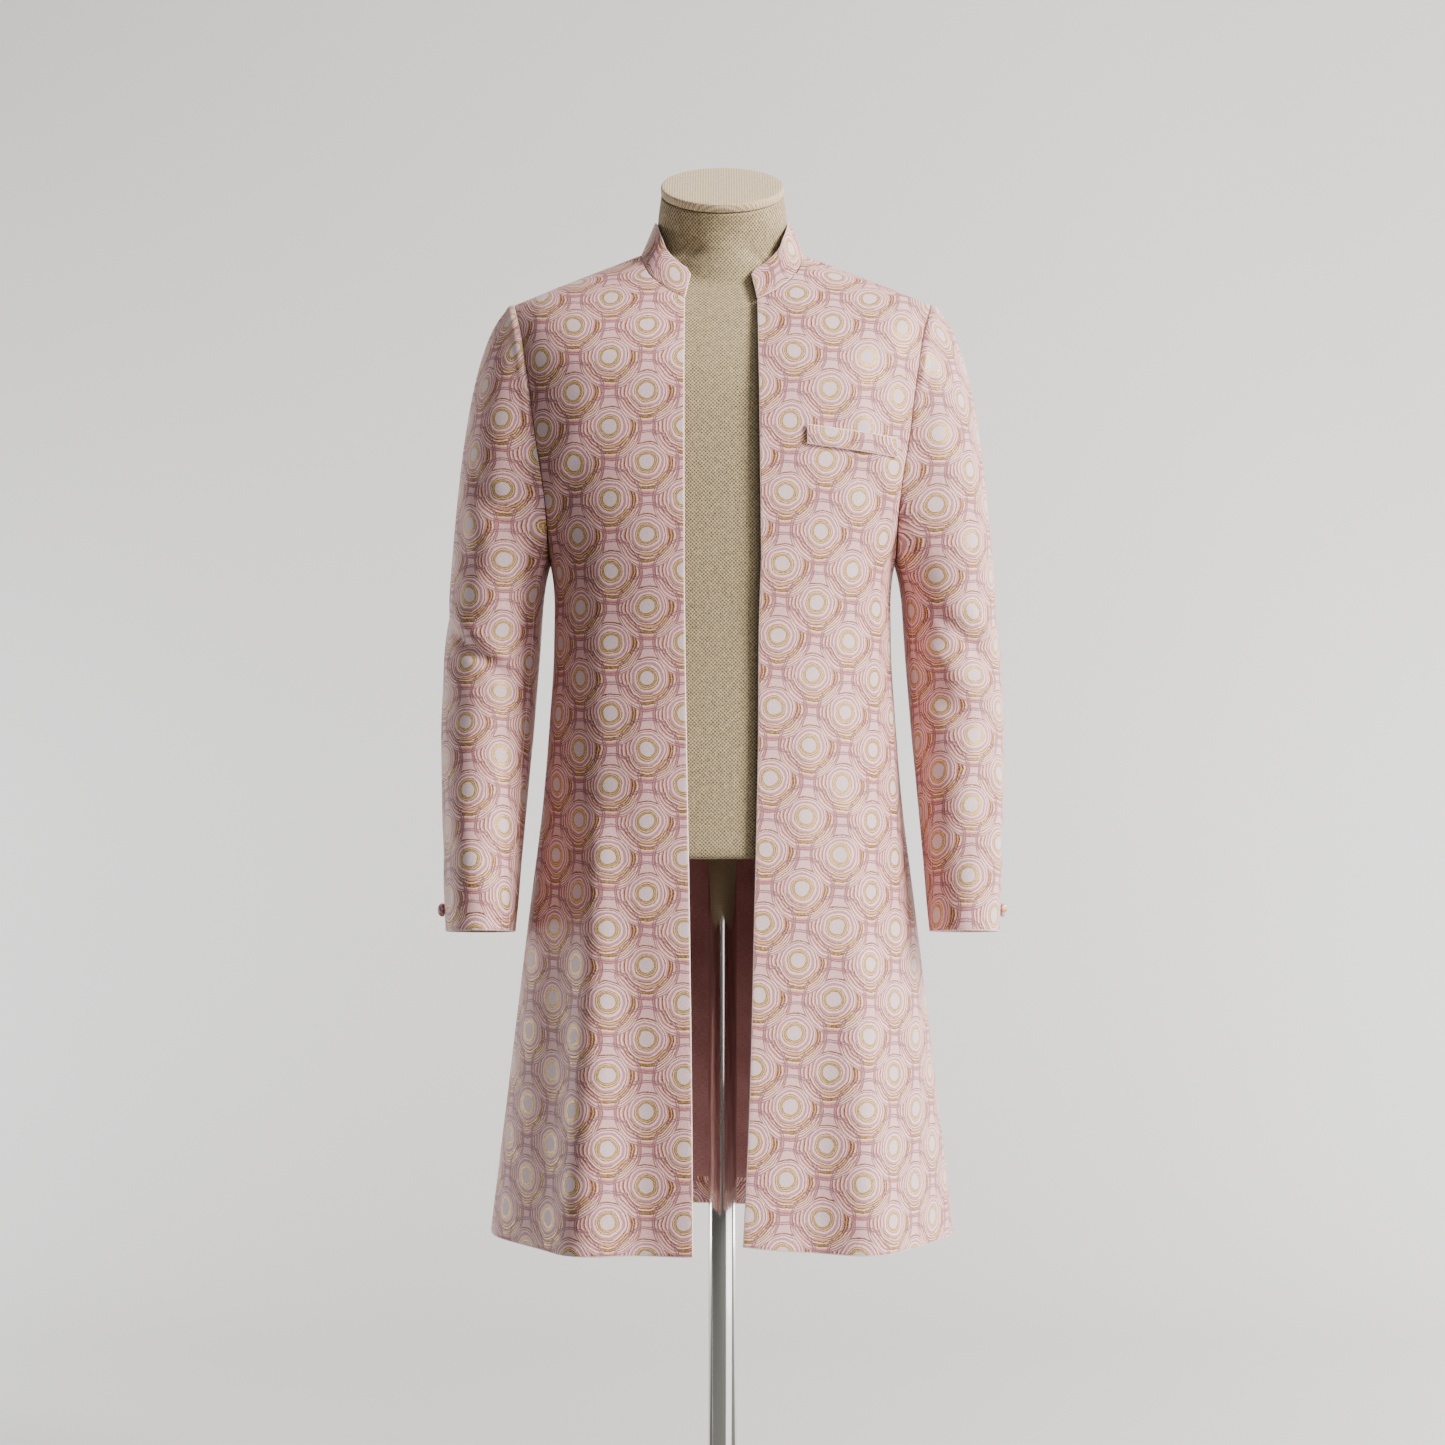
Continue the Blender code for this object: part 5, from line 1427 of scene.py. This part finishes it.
bounds = sorted([-180, 180, *[angle for fan in PALE_FANS for angle in fan]])
turns = np.unique(np.concatenate([np.linspace(a, b, FAN_STEPS) for a, b in zip(bounds, bounds[1:])]))
rim = np.stack([np.sin(np.radians(turns)), -np.cos(np.radians(turns))], axis=-1) * CLOTH_REACH
rim[:, 1] = np.minimum(rim[:, 1], CLOTH_BACK_Y)
cloth_points = [(0.0, 0.0, CLOTH_Z), *[(x, y, CLOTH_Z) for x, y in rim]]
cloth_faces = [(0, k + 1, k + 2) for k in range(len(turns) - 1)]
mesh = new_mesh("front_floor", cloth_points, cloth_faces, [floor_cloth, fan_paper])
for face, low, high in zip(mesh.polygons, turns, turns[1:]):
    face.material_index = int(any(start <= (low + high) / 2 <= end for start, end in PALE_FANS))
front_floor = in_scene("front_floor", mesh)
front_floor.visible_camera = False
front_floor.visible_shadow = False

line = [(SWEEP_FRONT_Y, 0.0)]
for bend in np.linspace(0, math.pi / 2, SWEEP_BEND_STEPS + 1):
    line.append((SWEEP_BEND_Y + SWEEP_BEND_RADIUS * math.sin(bend), SWEEP_BEND_RADIUS * (1 - math.cos(bend))))
line.append((SWEEP_BEND_Y + SWEEP_BEND_RADIUS, SWEEP_TOP_Z))
sweep_points = [(x, y, z + SWEEP_Z) for y, z in line for x in (-SWEEP_HALF_WIDTH, SWEEP_HALF_WIDTH)]
sweep_faces = [(2 * k, 2 * k + 1, 2 * k + 3, 2 * k + 2) for k in range(len(line) - 1)]
mesh = new_mesh("sweep", sweep_points, sweep_faces, [paper])
mesh.polygons.foreach_set("use_smooth", [True] * len(mesh.polygons))
in_scene("sweep", mesh)

# Each light's name, place, aim, width, height, watts and colour
LIGHTS = (
    ("key_right", (3.35, -1.85, 3.3), (0, 0, 1.0), 1.4, 1.8, 560.0, "#fffaf4"),
    ("front", (1.2, -3.2, 2.2), (0, 0, 1.0), 2.0, 1.6, 20.0, "#ffffff"),
    ("fill_left", (-2.8, -2.4, 1.6), (0, 0, 1.0), 2.0, 2.4, 3.0, "#f4f7ff"),
    ("top", (0.3, -0.8, 3.6), (0, 0, 1.0), 2.2, 1.8, 10.0, "#ffffff"),
    ("rim_left", (-1.9, 1.5, 2.0), (0, 0, 1.1), 0.8, 1.8, 4.0, "#ffffff"),
    ("rim_right", (1.9, 1.5, 2.0), (0, 0, 1.1), 0.8, 1.8, 20.0, "#ffffff"),
    ("wall_left", (-2.5, 0.9, 0.4), (-0.4, 2.5, 0.0), 0.8, 1.6, 76.0, "#ffffff"),
    ("wall_right", (2.5, 0.9, 0.4), (0.4, 2.5, 0.0), 0.8, 1.6, 68.0, "#ffffff"),
    ("card_right", (0.95, -0.64, 0.2), (0, 0, 0.2), 1.12, 0.4, 2.2, "#ffffff"),
)
for name, spot, aim, width, tall_side, watts, colour in LIGHTS:
    lamp = bpy.data.lights.new(name, "AREA")
    lamp.shape = "RECTANGLE"
    lamp.size = width
    lamp.size_y = tall_side
    lamp.energy = watts
    lamp.color = linear(colour)[:3]
    holder = in_scene(name, lamp)
    holder.location = spot
    holder.visible_camera = False
    away = np.array(aim, float) - np.array(spot, float)
    tip = math.atan2(away[2], math.hypot(away[0], away[1]))
    holder.rotation_euler = (math.pi / 2 + tip, 0, math.atan2(away[1], away[0]) - math.pi / 2)

WORLD_STRENGTH = 0.18
world = bpy.data.worlds.new("studio")
world.use_nodes = True
background = world.node_tree.nodes["Background"]
background.inputs["Color"].default_value = linear("#dcdcdc")
background.inputs["Strength"].default_value = WORLD_STRENGTH
bpy.context.scene.world = world

CAMERA_DISTANCE = 3.0
CAMERA_HEIGHT = 1.0
PHOTO_WIDTH = 1445
METRES_A_PIXEL = 0.00105
SENSOR = 36.0
view = bpy.data.cameras.new("camera")
view.sensor_width = SENSOR
view.lens = SENSOR * CAMERA_DISTANCE / (PHOTO_WIDTH * METRES_A_PIXEL)
camera = in_scene("camera", view)
camera.location = (0, -CAMERA_DISTANCE, CAMERA_HEIGHT)
camera.rotation_euler = (math.pi / 2, 0, 0)
bpy.context.scene.camera = camera
